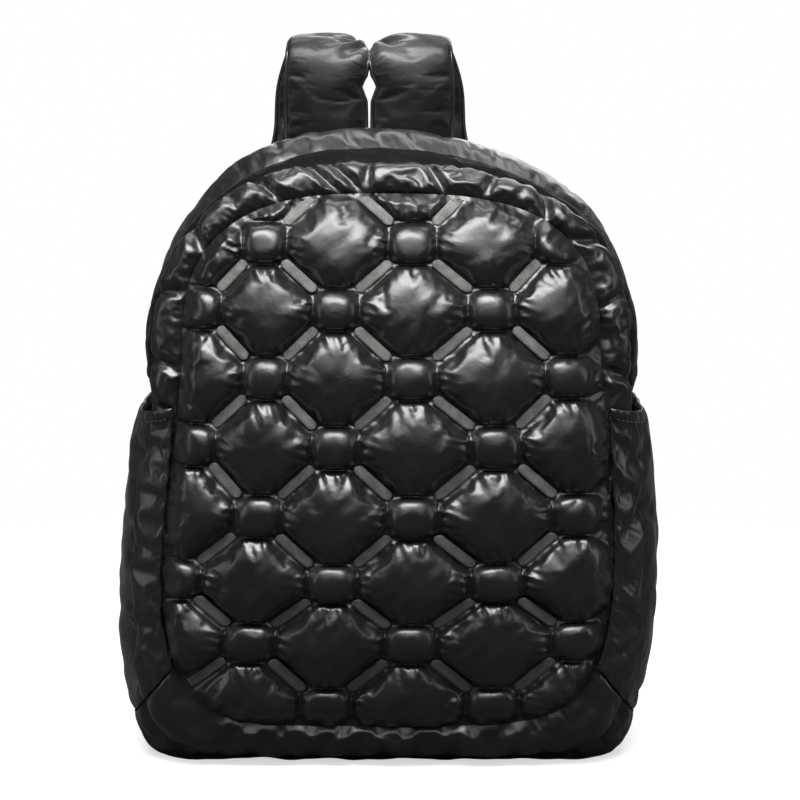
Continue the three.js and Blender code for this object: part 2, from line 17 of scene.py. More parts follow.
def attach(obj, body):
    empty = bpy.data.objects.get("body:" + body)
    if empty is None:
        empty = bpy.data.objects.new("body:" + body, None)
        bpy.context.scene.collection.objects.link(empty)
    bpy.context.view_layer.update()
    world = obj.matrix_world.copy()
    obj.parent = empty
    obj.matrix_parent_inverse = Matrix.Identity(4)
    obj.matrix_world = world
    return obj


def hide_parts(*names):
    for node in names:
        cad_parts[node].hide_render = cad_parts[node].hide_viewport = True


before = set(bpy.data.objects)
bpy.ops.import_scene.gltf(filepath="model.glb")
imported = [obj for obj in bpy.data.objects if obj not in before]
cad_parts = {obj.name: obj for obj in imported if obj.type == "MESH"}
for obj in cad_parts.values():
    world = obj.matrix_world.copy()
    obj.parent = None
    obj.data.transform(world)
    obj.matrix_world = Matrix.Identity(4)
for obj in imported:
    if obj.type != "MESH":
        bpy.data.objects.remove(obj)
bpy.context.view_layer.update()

LOG = logging.getLogger("backpack")
Array = np.ndarray
MM = 0.001


# ---------------------------------------------------------------- small maths


def smooth(x: Array, low: float, high: float) -> Array:
    """A smooth step.

    Args:
        x: values.
        low: where the step starts.
        high: where it ends.

    Returns:
        0 below low, 1 above high, smooth between.
    """
    share = np.clip((np.asarray(x, float) - low) / (high - low), 0, 1)
    return share * share * (3 - 2 * share)


def lerp(start: Array, end: Array, share: Array) -> Array:
    """The value at a share of the way from start to end."""
    return start + (end - start) * share


def crown(v: Array) -> Array:
    """Share of the full padding between two seams: none at either, all of it in the middle."""
    return np.sqrt(np.clip(1 - (2 * np.asarray(v, float) - 1) ** 2, 0, None))


def unit(vectors: Array) -> Array:
    """The same vectors, one long."""
    return vectors / np.maximum(np.linalg.norm(vectors, axis=-1, keepdims=True), 1e-12)


def catmull(points: Array, share: Array) -> Array:
    """Points on a centripetal Catmull-Rom curve.

    Args:
        points: control points, (count, n, 3) for n curves or (count, 1, 3) for one.
        share: each wanted point's share of the controls, 0 to 1.

    Returns:
        (n, 3) points.
    """
    share = np.asarray(share, float)
    count = len(points)
    place = np.clip(share, 0, 1) * (count - 1)
    whole = np.minimum(place.astype(int), count - 2)
    t = (place - whole)[:, None]
    padded = np.concatenate([2 * points[:1] - points[1:2], points, 2 * points[-1:] - points[-2:-1]])
    lane = np.arange(len(share)) if points.shape[1] > 1 else np.zeros(len(share), int)
    p0, p1, p2, p3 = (padded[whole + k, lane] for k in range(4))
    d0, d1, d2 = (
        np.maximum(np.sum((q - p) ** 2, axis=1), 1e-12)[:, None] ** 0.25
        for p, q in ((p0, p1), (p1, p2), (p2, p3))
    )
    t1 = ((p1 - p0) / d0 - (p2 - p0) / (d0 + d1) + (p2 - p1) / d1) * d1
    t2 = ((p2 - p1) / d1 - (p3 - p1) / (d1 + d2) + (p3 - p2) / d2) * d1
    second = -3 * p1 + 3 * p2 - 2 * t1 - t2
    third = 2 * p1 - 2 * p2 + t1 + t2
    return p1 + t1 * t + second * t**2 + third * t**3


def lengths(path: Array) -> Array:
    """Length along a line of points up to each of them."""
    return np.concatenate([[0], np.cumsum(np.linalg.norm(np.diff(path, axis=0), axis=1))])


def sample(marks: Array, steps: Array, path: Array) -> Array:
    """Values of a line at lengths along it.

    Args:
        marks: the wanted lengths.
        steps: the length at each point of the line.
        path: (n, 3) points or directions of the line.

    Returns:
        (count of marks, 3) values.
    """
    return np.stack([np.interp(marks, steps, path[:, k]) for k in range(3)], axis=1)


def placing(axes: Sequence[Array], spot: Array) -> Matrix:
    """The matrix that puts a small form at a spot.

    Args:
        axes: where the form's own axes go, in metres for each millimetre or unit of the form.
        spot: where its origin goes, in metres.

    Returns:
        The matrix.
    """
    place = np.eye(4)
    place[:3, :3] = np.stack(axes, axis=1)
    place[:3, 3] = spot
    return Matrix(place.tolist())


def starting(share: float) -> float:
    return share


def bell(value: Array, reach: float) -> Array:
    """1 at nought, falling off evenly on both sides over the reach."""
    return np.exp(-((value / reach) ** 2))


class Ripples:
    """Smooth, repeatable unevenness made of a few plane waves."""

    def __init__(self, seed: int, wavelength: float, waves: int = 9) -> None:
        """Draw the waves.

        Args:
            seed: seed of the draw.
            wavelength: the typical wavelength, in the unit of the points.
            waves: how many waves are added up.
        """
        draw = np.random.default_rng(seed)
        self.turns = unit(draw.normal(size=(waves, 3))) * (
            2 * math.pi / (wavelength * draw.uniform(0.6, 1.6, (waves, 1)))
        )
        self.starts = draw.uniform(0, 2 * math.pi, waves)

    def at(self, points: Array) -> Array:
        """Heights at points, roughly from -1 to 1."""
        return np.sin(points @ self.turns.T + self.starts).sum(axis=1) / math.sqrt(len(self.starts) * 1.6)


# ---------------------------------------------------------------- the bag's shape


@dataclass(frozen=True)
class BodySizes:
    """Sizes of the soft body, in millimetres, as in the CAD model."""

    width: float = 320
    height: float = 388
    depth: float = 112
    spring: float = 255
    mid_sway: float = 5
    top_sway: float = -11.4
    seam_wall: float = 1.2
    seam_gap: float = 0.4
    pocket_height: float = 218
    arch_heights: tuple[float, float] = (250, 340)
    corner_end: float = 0.128
    zip_end: float = 0.262
    zip_half_row: float = 0.36
    panel_dome: float = 20
    dome_square_across: float = 2.4
    dome_square_up: float = 2.6
    border_puff: float = 9.5
    flat_border: float = 0.25
    base_puff: float = 7
    side_dish: float = 6
    back_dome: float = 7
    shift: tuple[float, float] = (-2.9201, -5.2133)


@dataclass(frozen=True)
class Rim:
    """One of the six rims that the body is sewn along, as shares of the body's sizes."""

    side: float
    low: float
    top: float
    bottom: float
    arch: float
    foot: float
    foot_depth: float
    middle_depth: float
    top_depth: float


RIMS = (
    Rim(0.393, 0.452, 0.908, 0.07, 2.9, 5, -0.55, -0.535, -0.34),
    Rim(0.448, 0.48, 0.952, 0.02, 2.4, 8, -0.46, -0.41, -0.25),
    Rim(0.466, 0.496, 0.977, -0.012, 2.2, 9, -0.32, -0.27, -0.16),
    Rim(0.469, 0.5, 0.96, -0.016, 2.2, 9, 0, 0, 0.04),
    Rim(0.466, 0.496, 0.989, -0.012, 2.2, 9, 0.32, 0.3, 0.28),
    Rim(0.451, 0.48, 0.967, 0.015, 2.25, 8, 0.464, 0.464, 0.41),
)


@dataclass(frozen=True)
class Tuck:
    """A place where the border is pulled in: share of the way round, depth, slant and width in mm."""

    at: float
    depth: float
    slant: float = 0.0
    width: float = 6.0


@dataclass(frozen=True)
class Swell:
    """A ridge or a hollow that runs along the bag's arch: its height in mm, its row and its reach in rows."""

    height: float
    row: float
    reach: float

    def at(self, row: Array) -> Array:
        """Height at rows, mm."""
        return self.height * bell(np.asarray(row) - self.row, self.reach)


ZIP_CHANNEL = Swell(-5.0, 2.6, 0.85)
FRONT_RIDGE = Swell(1.6, 1.35, 0.22)
BACK_RIDGE = Swell(2.6, 4.3, 0.3)
TUCKS = (
    Tuck(0.2, 0.35), Tuck(0.246, 0.6, 0.004), Tuck(0.29, 0.7, -0.008), Tuck(0.334, 0.5, 0.006),
    Tuck(0.372, 0.85, -0.012), Tuck(0.404, 0.95, 0.01), Tuck(0.436, 0.55, -0.006), Tuck(0.468, 0.7, 0.012),
    Tuck(0.508, 0.5, -0.01), Tuck(0.522, 0.8, 0.014), Tuck(0.536, 0.8, 0.012), Tuck(0.572, 0.75, 0.006),
    Tuck(0.626, 0.8, -0.01), Tuck(0.662, 0.7, 0.008), Tuck(0.704, 0.6, -0.006), Tuck(0.748, 0.75, 0.005),
    Tuck(0.8, 0.35),
)


class BagShape:
    """The soft body's surfaces. Points are (n, 3) arrays in millimetres before the bag leans."""

    def __init__(self, size: BodySizes) -> None:
        """Measure the rims once.

        Args:
            size: the body's sizes.
        """
        self.size = size
        self.paths = []
        for rim in RIMS:
            side = rim.side * size.width
            flare = (rim.low - rim.side) * size.width
            self.paths.append(
                (
                    self._quarter(side, flare, rim.bottom * size.height - size.spring, rim.foot),
                    self._quarter(side, 0, rim.top * size.height - size.spring, rim.arch),
                )
            )

    @staticmethod
    def _quarter(half: float, flare: float, rise: float, power: float) -> tuple[Array, Array, Array]:
        """A quarter of a rim as (share of length, x, height)."""
        angle = np.linspace(0, math.pi / 2, 97)
        up = np.sin(angle) ** (2 / power)
        out = np.abs(np.cos(angle)) ** (2 / power)
        out[-1] = 0
        x = (half + flare * up) * out
        y = rise * up
        steps = np.concatenate([[0], np.cumsum(np.hypot(np.diff(x), np.diff(y)))])
        return steps / steps[-1], x, y

    def rim_depth(self, index: int, z: Array) -> Array:
        """Depth of a rim at heights."""
        rim = RIMS[index]
        share = np.clip(np.asarray(z, float) / self.size.height, 0, 1)
        foot = 2 * (share - 0.5) * (share - 1)
        middle = -4 * share * (share - 1)
        top = 2 * share * (share - 0.5)
        return self.size.depth * (rim.foot_depth * foot + rim.middle_depth * middle + rim.top_depth * top)

    def rim(self, index: int, share: Array) -> Array:
        """Points of a rim by share of the way round, 0 in the middle of the base, 0.5 at the top."""
        share = np.atleast_1d(np.asarray(share, float))
        half = np.where(share > 0.5, 1 - share, share)
        size = np.abs(half)
        foot, arch = self.paths[index]
        low = 1 - size / 0.3
        high = (half - 0.3) / 0.2
        x = np.where(size < 0.3, np.interp(low, foot[0], foot[1]), np.interp(high, arch[0], arch[1]))
        y = np.where(size < 0.3, np.interp(low, foot[0], foot[2]), np.interp(high, arch[0], arch[2]))
        z = self.size.spring + y
        x = np.where((share > 0.5) | (share < 0), -x, x)
        return np.stack([x, self.rim_depth(index, z), z], axis=1)

    def skin(self, share: Array, row: Array) -> Array:
        """Points of the smooth skin through the rims, at rows 0 to 5."""
        share, row = np.broadcast_arrays(np.atleast_1d(share).astype(float), np.asarray(row, float))
        section = np.stack([self.rim(index, share) for index in range(6)])
        return catmull(section, row / 5)

    def skin_frame(self, share: Array, row: Array) -> tuple[Array, Array]:
        """The skin's points and outward normals."""
        step = 0.004
        share, row = np.broadcast_arrays(np.atleast_1d(share).astype(float), np.asarray(row, float))
        around = self.skin(share + step, row) - self.skin(share - step, row)
        across = self.skin(share, np.minimum(row + step, 5)) - self.skin(share, np.maximum(row - step, 0))
        return self.skin(share, row), unit(np.cross(across, around))

    def off_skin(self, share: Array, row: Array, distance: Array, ground: float = 0) -> Array:
        """Points at a distance off the skin, kept above the ground."""
        at, out = self.skin_frame(share, row)
        points = at + out * np.asarray(distance, float).reshape(-1, 1)
        points[:, 2] = np.maximum(points[:, 2], ground)
        return points

    def under_pocket(self, share: Array) -> Array:
        """How full the border is at a share: it lies flatter under the pockets."""
        height = self.skin(share, 1.0)[:, 2]
        pocket = self.size.pocket_height
        return lerp(self.size.flat_border, 1.0, smooth(height, pocket - 12, pocket + 22))

    def border_bulge(self, share: Array, row: Array, tucks: Sequence[Tuck] = TUCKS) -> Array:
        """Height of the border's puff off the skin."""
        fill = self.under_pocket(share)
        round_length = 2 * (self.size.height + self.size.width)
        for tuck in tucks:
            away = (share - tuck.at - tuck.slant * (row - 0.5)) * round_length / tuck.width
            fill = fill * (1 - tuck.depth * np.exp(-away * away))
        return np.where(row < 1, self.size.border_puff * fill * crown(row), 0)

    def side_give(self, share: Array, row: Array) -> Array:
        """Height off the skin where the side sinks behind a pocket's mouth and where the zip lies in its channel."""
        height = self.skin(share, row)[:, 2]
        pocket = self.size.pocket_height
        behind = smooth(height, 60, 150) * (1 - smooth(height, pocket + 2, pocket + 26))
        arch = smooth(height, *self.size.arch_heights)
        relief = ZIP_CHANNEL.at(row) + (FRONT_RIDGE.at(row) + BACK_RIDGE.at(row))
        return relief * arch - self.size.side_dish * behind * crown((np.asarray(row) - 1) / 4)

    def inside_panel(self, x: Array, z: Array) -> Array:
        """How far inside the panel's seam points are, nearly in millimetres."""
        rim, size = RIMS[0], self.size
        high = z > size.spring
        rise = np.where(high, rim.top * size.height - size.spring, size.spring - rim.bottom * size.height)
        up = np.abs(z - size.spring) / rise
        half = size.width * np.where(high, rim.side, lerp(rim.side, rim.low, np.minimum(up, 1)))
        power = np.where(high, rim.arch, rim.foot)
        reach = ((np.abs(x) / half) ** power + up**power) ** (1 / power)
        return (1 - reach) * np.minimum(half, rise)

    def panel_depth(self, x: Array, z: Array) -> Array:
        """Depth of the front panel's own surface, without its puffs."""
        rim, size = RIMS[0], self.size
        low, high = rim.bottom * size.height, rim.top * size.height
        across = np.minimum(np.abs(x) / (rim.low * size.width), 1)
        up = np.minimum(np.abs((2 * z - low - high) / (high - low)), 1)
        dome = (1 - across**size.dome_square_across) * (1 - up**size.dome_square_up)
        return self.rim_depth(0, z) - size.panel_dome * dome

    def panel_face(self, x: Array, z: Array) -> Array:
        """Depth of the front panel's cloth without its puffs: drawn back to the seam at its edge."""
        return lerp(self.rim_depth(0, z), self.panel_depth(x, z), smooth(self.inside_panel(x, z), -1, 10))

    def back_seat(self, z: Array) -> Array:
        """Depth of the back panel's edge."""
        return self.rim_depth(5, z) + 2 * self.size.seam_gap

    def back_face(self, x: Array, z: Array) -> Array:
        """Depth of the back panel's outside face."""
        across = np.minimum(np.abs(x) / (RIMS[5].side * self.size.width), 1)
        up = np.minimum(np.abs(2 * np.asarray(z) / self.size.height - 1), 1)
        swell = (1 - across**4) * (1 - up**4)
        return self.back_seat(z) + self.size.seam_wall + self.size.back_dome * swell

    def sway(self, z: Array) -> Array:
        """Sideways lean of the soft body at heights."""
        size = self.size
        share = np.asarray(z, float) / size.height
        return size.mid_sway * smooth(share, 0, 0.6) + (size.top_sway - size.mid_sway) * smooth(share, 0.86, 1.04)

    def to_frame(self, points: Array, leaning: bool = True) -> Array:
        """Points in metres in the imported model's frame."""
        placed = np.array(points, float)
        if leaning:
            placed[:, 0] += self.sway(placed[:, 2])
        placed[:, 0] += self.size.shift[0]
        placed[:, 1] += self.size.shift[1]
        return placed * MM


# ---------------------------------------------------------------- finishes


class Slot(Enum):
    """The record's material slots."""

    NYLON = "nylon"
    TAPE = "tape"
    PLASTIC = "plastic"


class NodeBench:
    """Builds one material's nodes."""

    def __init__(self, name: str) -> None:
        """Start a material with its shader and the piece's own coordinates.

        Args:
            name: the material's name.
        """
        self.material = bpy.data.materials.new(name)
        self.material.use_nodes = True
        self.tree = self.material.node_tree
        self.shader = self.tree.nodes["Principled BSDF"]
        self.coords = self.tree.nodes.new("ShaderNodeTexCoord")

    def node(self, kind: str, inputs: dict | None = None, **settings: object) -> bpy.types.Node:
        """Add a node.

        Args:
            kind: Blender's node type.
            inputs: input values or sockets to link, by input name.
            settings: node properties.

        Returns:
            The node.
        """
        made = self.tree.nodes.new(kind)
        for key, value in settings.items():
            setattr(made, key, value)
        for key, value in (inputs or {}).items():
            if isinstance(value, bpy.types.NodeSocket):
                self.tree.links.new(value, made.inputs[key])
            else:
                made.inputs[key].default_value = value
        return made

    def noise(self, scale: float, detail: float = 3, distortion: float = 0) -> bpy.types.NodeSocket:
        """Noise on the piece's own coordinates, which are metres."""
        inputs = {"Vector": self.coords.outputs["Object"], "Scale": scale, "Detail": detail, "Distortion": distortion}
        return self.node("ShaderNodeTexNoise", inputs).outputs["Fac"]

    def wave(self, vector: object, scale: float, direction: str, **more: float) -> bpy.types.NodeSocket:
        """Even bands across a direction.

        Args:
            vector: the coordinates.
            scale: how close the bands lie.
            direction: X, Y, Z or DIAGONAL.
            more: other inputs of the node.

        Returns:
            The bands' value.
        """
        inputs = {"Vector": vector, "Scale": scale, **more}
        return self.node("ShaderNodeTexWave", inputs, bands_direction=direction).outputs["Fac"]

    def place(self, axis: str) -> bpy.types.NodeSocket:
        """One of the piece's own coordinates."""
        return self.node("ShaderNodeSeparateXYZ", {0: self.coords.outputs["Object"]}).outputs[axis]

    def math(self, operation: str, first: object, second: object = 0.0) -> bpy.types.NodeSocket:
        """A math node on two values or sockets."""
        return self.node("ShaderNodeMath", {0: first, 1: second}, operation=operation).outputs[0]

    def spread(self, value: object, low: float, high: float, to_low: float, to_high: float) -> bpy.types.NodeSocket:
        """A value mapped from one range to another and kept in it."""
        inputs = {"Value": value, "From Min": low, "From Max": high, "To Min": to_low, "To Max": to_high}
        return self.node("ShaderNodeMapRange", inputs).outputs["Result"]

    def ramp(self, value: object, stops: Sequence[tuple[float, tuple[float, float, float]]]) -> bpy.types.NodeSocket:
        """A colour by value."""
        made = self.node("ShaderNodeValToRGB", {"Fac": value})
        marks = made.color_ramp.elements
        while len(marks) < len(stops):
            marks.new(0.5)
        for mark, (place, color) in zip(marks, stops):
            mark.position = place
            mark.color = (*color, 1)
        return made.outputs["Color"]

    def bump(self, height: object, distance: float, strength: float = 1, under: object = None) -> bpy.types.NodeSocket:
        """A bump in metres over another."""
        inputs = {"Height": height, "Distance": distance, "Strength": strength}
        if under is not None:
            inputs["Normal"] = under
        return self.node("ShaderNodeBump", inputs).outputs["Normal"]

    def finish(self, color: object, roughness: object, normal: object, **plain: float) -> bpy.types.Material:
        """Link the shader.

        Args:
            color: a colour socket.
            roughness: a value or socket.
            normal: the bump's output.
            plain: shader inputs that are the same all over, with _ for spaces.

        Returns:
            The material.
        """
        self.tree.links.new(color, self.shader.inputs["Base Color"])
        if isinstance(roughness, bpy.types.NodeSocket):
            self.tree.links.new(roughness, self.shader.inputs["Roughness"])
        else:
            self.shader.inputs["Roughness"].default_value = roughness
        self.tree.links.new(normal, self.shader.inputs["Normal"])
        for key, value in plain.items():
            self.shader.inputs[key.replace("_", " ")].default_value = value
        return self.material


class Finishes:
    """All finishes of the bag, made once. Tones are stops of a ramp: a value, then a linear colour."""

    NYLON_TONES = ((0.3, (0.0026, 0.0024, 0.0023)), (0.75, (0.0055, 0.0051, 0.0047)))
    RIBBON_TONES = ((0.12, (0.05, 0.049, 0.046)), (0.42, (0.19, 0.185, 0.175)))
    THREAD_TONES = ((0, (0.012, 0.012, 0.011)), (1, (0.045, 0.043, 0.04)))
    CREST_HIGHLIGHT_TONES = ((0.0, (0.003, 0.0028, 0.0026)), (1.0, (0.07, 0.068, 0.065)))
    # The painted highlight, a paler colour where the straps meet, in metres: its x, how far aside it reaches, and
    # between which heights.
    CREST_HIGHLIGHT_MIDDLE = -0.0103
    CREST_HIGHLIGHT_ASIDE = (0.016, 0.036)
    CREST_HIGHLIGHT_HEIGHT = (0.423, 0.437)

    def __init__(self) -> None:
        """Make every material."""
        self.nylon = self._nylon("coated_nylon", 0.33, 0.0007)
        self.shell = self._nylon("smooth_nylon", 0.33, 0.0004)
        self.lining = self._nylon("matte_nylon", 0.6, 0.0004, 0.05)
        self.strap = self._nylon("strap_nylon", 0.44, 0.0006, 0.55, True)
        self.ribbon = self._ribbon()
        self.webbing = self._woven("strap_webbing", 0.02, 1.5)
        self.tape = self._woven("zip_tape_cloth", 0.011, 0.8)
        self.coil = self._plastic("zip_coil", 0.022, 0.34)
        self.plastic = self._plastic("moulded_plastic", 0.016, 0.4)
        self.thread = self._thread()

    def _nylon(
        self, name: str, roughness: float, crumple: float, gloss: float = 1.0, crest_highlight: bool = False
    ) -> bpy.types.Material:
        """Coated nylon: a dark wet gloss over soft crumples and a very fine weave.

        Args:
            name: the material's name.
            roughness: how rough its gloss is.
            crumple: depth of its crumples in metres.
            gloss: share of the full gloss.
            crest_highlight: whether a painted highlight makes it paler where the two straps meet.

        Returns:
            The material.
        """
        bench = NodeBench(name)
        broad = bench.noise(26, 3, 0.8)
        creased = bench.math("ABSOLUTE", bench.math("SUBTRACT", bench.noise(75, 3, 1.4), 0.5))
        fine = bench.noise(330, 2)
        own = bench.coords.outputs["Object"]
        weave = bench.math("ADD", bench.wave(own, 640, "X"), bench.wave(own, 640, "Z"))
        normal = bench.bump(weave, 0.00002, 0.5)
        normal = bench.bump(fine, 0.00004, 0.4, normal)
        normal = bench.bump(creased, crumple * 1.2, 0.35, normal)
        normal = bench.bump(broad, crumple * 2.2, 0.4, normal)
        color = bench.ramp(bench.noise(14, 4), self.NYLON_TONES)
        rough = bench.spread(bench.noise(38, 4), 0.3, 0.7, roughness - 0.05, roughness + 0.07)
        # Painted highlight: the colour turns paler where the two straps meet at their crest, standing in for light
        # caught there; the lower roughness there is real gloss.
        if crest_highlight:
            aside = bench.math("ABSOLUTE", bench.math("ADD", bench.place("X"), -self.CREST_HIGHLIGHT_MIDDLE))
            near = bench.spread(aside, *self.CREST_HIGHLIGHT_ASIDE, 1, 0)
            crest = bench.math("MULTIPLY", near, bench.spread(bench.place("Z"), *self.CREST_HIGHLIGHT_HEIGHT, 0, 1))
            crest = bench.math("MULTIPLY", crest, bench.spread(bench.noise(90, 3), 0.3, 0.7, 0.5, 1.0))
            color = bench.ramp(crest, self.CREST_HIGHLIGHT_TONES)
            rough = bench.spread(crest, 0, 1, roughness, 0.2)
        return bench.finish(color, rough, normal, Specular_IOR_Level=0.6 * gloss, Coat_Weight=0.2 * gloss,
                            Coat_Roughness=0.25, Sheen_Weight=0.05, Sheen_Roughness=0.4)

    def _ribbon(self) -> bpy.types.Material:
        """Matte woven ribbon with a dusty grain, and painted shade that makes it darker near the ground and paler
        higher up.
        """
        bench = NodeBench("quilt_ribbon")
        rib = bench.wave(bench.coords.outputs["UV"], 420, "Y", Distortion=1.5, Detail=2)
        grain = bench.noise(1500, 3)
        patch = bench.noise(160, 4)
        normal = bench.bump(rib, 0.00012, 0.7)
        normal = bench.bump(grain, 0.0002, 0.9, normal)
        # Painted shade: the ribbon's random patches are darkened towards the ground and lightened higher up, by height.
        patch_and_height_shade = bench.math("MULTIPLY", patch, bench.spread(bench.place("Z"), 0.1, 0.36, 0.5, 1.2))
        color = bench.ramp(bench.math("MULTIPLY", grain, patch_and_height_shade), self.RIBBON_TONES)
        return bench.finish(color, bench.spread(patch, 0.3, 0.7, 0.62, 0.82), normal, Sheen_Weight=0.35,
                            Sheen_Roughness=0.5, Specular_IOR_Level=0.4)

    @staticmethod
    def _woven(name: str, tone: float, pitch: float) -> bpy.types.Material:
        """Webbing or tape: ribs across and a twill along, by the piece's UV in metres."""
        bench = NodeBench(name)
        uv = bench.coords.outputs["UV"]
        turns = 1 / (pitch * MM) / 20 * 2 * math.pi  # Blender's wave node has 20 / (2 pi) bands for each unit
        twill = bench.math("ADD", bench.wave(uv, turns * 0.7, "DIAGONAL"), 0.4)
        cloth = bench.math("MULTIPLY", bench.wave(uv, turns, "Y"), twill)
        normal = bench.bump(cloth, 0.0003, 0.8)
        normal = bench.bump(bench.noise(1400, 2), 0.00006, 0.7, normal)
        dark, light = (tone * 0.4, tone * 0.39, tone * 0.38), (tone, tone * 0.98, tone * 0.95)
        color = bench.ramp(cloth, [(0.1, dark), (0.9, light)])
        return bench.finish(color, bench.spread(cloth, 0, 1, 0.75, 0.58), normal, Sheen_Weight=0.25,
                            Sheen_Roughness=0.5)

    @staticmethod
    def _plastic(name: str, tone: float, roughness: float) -> bpy.types.Material:
        """Moulded plastic with a faint grain and patches of wear."""
        bench = NodeBench(name)
        grain = bench.noise(1800, 2)
        wear = bench.noise(120, 3)
        normal = bench.bump(grain, 0.00004, 0.6)
        color = bench.ramp(wear, [(0.35, (tone * 0.8,) * 3), (0.75, (tone * 1.3,) * 3)])
        return bench.finish(color, bench.spread(wear, 0.3, 0.7, roughness - 0.06, roughness + 0.08), normal)

    def _thread(self) -> bpy.types.Material:
        """Twisted sewing thread."""
        bench = NodeBench("sewing_thread")
        twist = bench.wave(bench.coords.outputs["Object"], 900, "DIAGONAL")
        color = bench.ramp(twist, self.THREAD_TONES)
        return bench.finish(color, 0.5, bench.bump(twist, 0.0001, 0.7), Sheen_Weight=0.2)


# ---------------------------------------------------------------- making meshes


@dataclass
class Sheet:
    """A piece while it is made, with the place of each of its corners in its own grid."""

    piece: bpy.types.Object
    u: Array
    v: Array


class Loom:
    """Turns grids of points into pieces."""

    @staticmethod
    def link(name: str, data: bpy.types.ID) -> bpy.types.Object:
        """A new object of a mesh, camera or lamp, linked to the scene."""
        piece = bpy.data.objects.new(name, data)
        bpy.context.scene.collection.objects.link(piece)
        return piece

    @staticmethod
    def grid(cells: tuple[int, int]) -> tuple[bmesh.types.BMesh, Array]:
        """A flat grid, and its corners' places from -1 to 1."""
        bm = bmesh.new()
        bmesh.ops.create_grid(bm, x_segments=cells[0], y_segments=cells[1], size=1)
        return bm, np.array([vert.co[:2] for vert in bm.verts])

    @staticmethod
    def copies(bm: bmesh.types.BMesh, count: int) -> list[list[int]]:
        """The faces of so many copies of a form, by their corners' numbers."""
        faces = [[vert.index for vert in face.verts] for face in bm.faces]
        return [[index + k * len(bm.verts) for index in face] for k in range(count) for face in faces]

    @classmethod
    def smooth_piece(cls, name: str, bm: bmesh.types.BMesh) -> bpy.types.Object:
        """A smooth piece of a finished mesh, which is freed."""
        for face in bm.faces:
            face.smooth = True
        mesh = bpy.data.meshes.new(name)
        bm.to_mesh(mesh)
        bm.free()
        return cls.link(name, mesh)

    @classmethod
    def weave(
        cls,
        name: str,
        cells: tuple[int, int],
        place: Callable[[Array, Array], Array],
        facing: tuple[float, float, float] | None = None,
        joined: bool = False,
        uv_size: tuple[float, float] = (0.05, 0.3),
    ) -> Sheet:
        """Make a grid piece.

        Args:
            name: the piece's name.
            cells: cells along u and along v.
            place: gives (n, 3) points in metres for u and v from 0 to 1.
            facing: a point inside, in metres, that its faces look away from; none for a closed piece.
            joined: whether the first and last columns are the same line.
            uv_size: the cloth's width and length in metres, for its UV.

        Returns:
            The sheet.
        """
        bm, corners = cls.grid(cells)
        start = corners / 2 + 0.5
        points = place(start[:, 0], start[:, 1])
        along_u = bm.verts.layers.float.new("u")
        along_v = bm.verts.layers.float.new("v")
        flat = bm.loops.layers.uv.new("cloth")
        for face in bm.faces:
            for loop in face.loops:
                u, v = start[loop.vert.index]
                loop[flat].uv = (u * uv_size[0], v * uv_size[1])
        for vert, (u, v), point in zip(bm.verts, start, points):
            vert.co = point
            vert[along_u] = u
            vert[along_v] = v
        if joined:
            bmesh.ops.remove_doubles(bm, verts=bm.verts, dist=1e-6)
            ends = [edge for edge in bm.edges if edge.is_boundary]
            if ends:
                bmesh.ops.holes_fill(bm, edges=ends, sides=0)
            bmesh.ops.recalc_face_normals(bm, faces=bm.faces)
        elif facing is not None:
            cls._turn_outwards(bm, Vector(facing))
        u_values = np.array([vert[along_u] for vert in bm.verts])
        v_values = np.array([vert[along_v] for vert in bm.verts])
        return Sheet(cls.smooth_piece(name, bm), u_values, v_values)

    @staticmethod
    def _turn_outwards(bm: bmesh.types.BMesh, inside: Vector) -> None:
        """Reverse the faces where most of them look at an inside point."""
        bm.normal_update()
        away = sum((face.calc_center_median() - inside).normalized().dot(face.normal) for face in bm.faces)
        if away < 0:
            bmesh.ops.reverse_faces(bm, faces=bm.faces)

    @classmethod
    def stamp(cls, name: str, template: bmesh.types.BMesh, places: Sequence[Matrix]) -> bpy.types.Object:
        """Make one piece of many copies of a small form.

        Args:
            name: the piece's name.
            template: the small form; it is freed.
            places: a matrix for each copy.

        Returns:
            The piece.
        """
        template.verts.index_update()
        form = np.array([(*vert.co, 1.0) for vert in template.verts])
        faces = cls.copies(template, len(places))
        template.free()
        points = np.concatenate([form @ np.array(place).T for place in places])[:, :3]
        mesh = bpy.data.meshes.new(name)
        mesh.from_pydata(points.tolist(), [], faces)
        mesh.shade_smooth()
        return cls.link(name, mesh)

    @staticmethod
    def round_edges(bm: bmesh.types.BMesh, edges: list[bmesh.types.BMEdge], radius: float) -> None:
        """Round edges of a small form, mm."""
        bmesh.ops.bevel(bm, geom=edges, offset=radius, segments=3, profile=0.5, affect="EDGES", material=-1)

    @classmethod
    def moulding(cls, name: str, template: bmesh.types.BMesh, place: Matrix) -> bpy.types.Object:
        """Make a moulded piece of one small form, with its flat faces left flat."""
        piece = cls.stamp(name, template, [place])
        piece.data.set_sharp_from_angle(angle=math.radians(40))
        return piece

    @staticmethod
    def positions(piece: bpy.types.Object) -> Array:
        """The corners of a piece, in metres."""
        values = np.empty(len(piece.data.vertices) * 3)
        piece.data.vertices.foreach_get("co", values)
        return values.reshape(-1, 3)

    @staticmethod
    def normals(piece: bpy.types.Object) -> Array:
        """The corners' outward directions."""
        values = np.empty(len(piece.data.vertices) * 3)
        piece.data.vertices.foreach_get("normal", values)
        return values.reshape(-1, 3)

    @staticmethod
    def layer(piece: bpy.types.Object, name: str) -> Array:
        """The corners' values of a layer."""
        values = np.empty(len(piece.data.vertices))
        piece.data.attributes[name].data.foreach_get("value", values)
        return values

    @staticmethod
    def turn(bm: bmesh.types.BMesh, backwards: bool) -> None:
        """Reverse the faces of a nearly flat piece where they don't look backwards, or forwards, as wanted."""
        bm.normal_update()
        depth = sum(face.normal.y for face in bm.faces)
        if (depth < 0) if backwards else (depth > 0):
            bmesh.ops.reverse_faces(bm, faces=bm.faces)

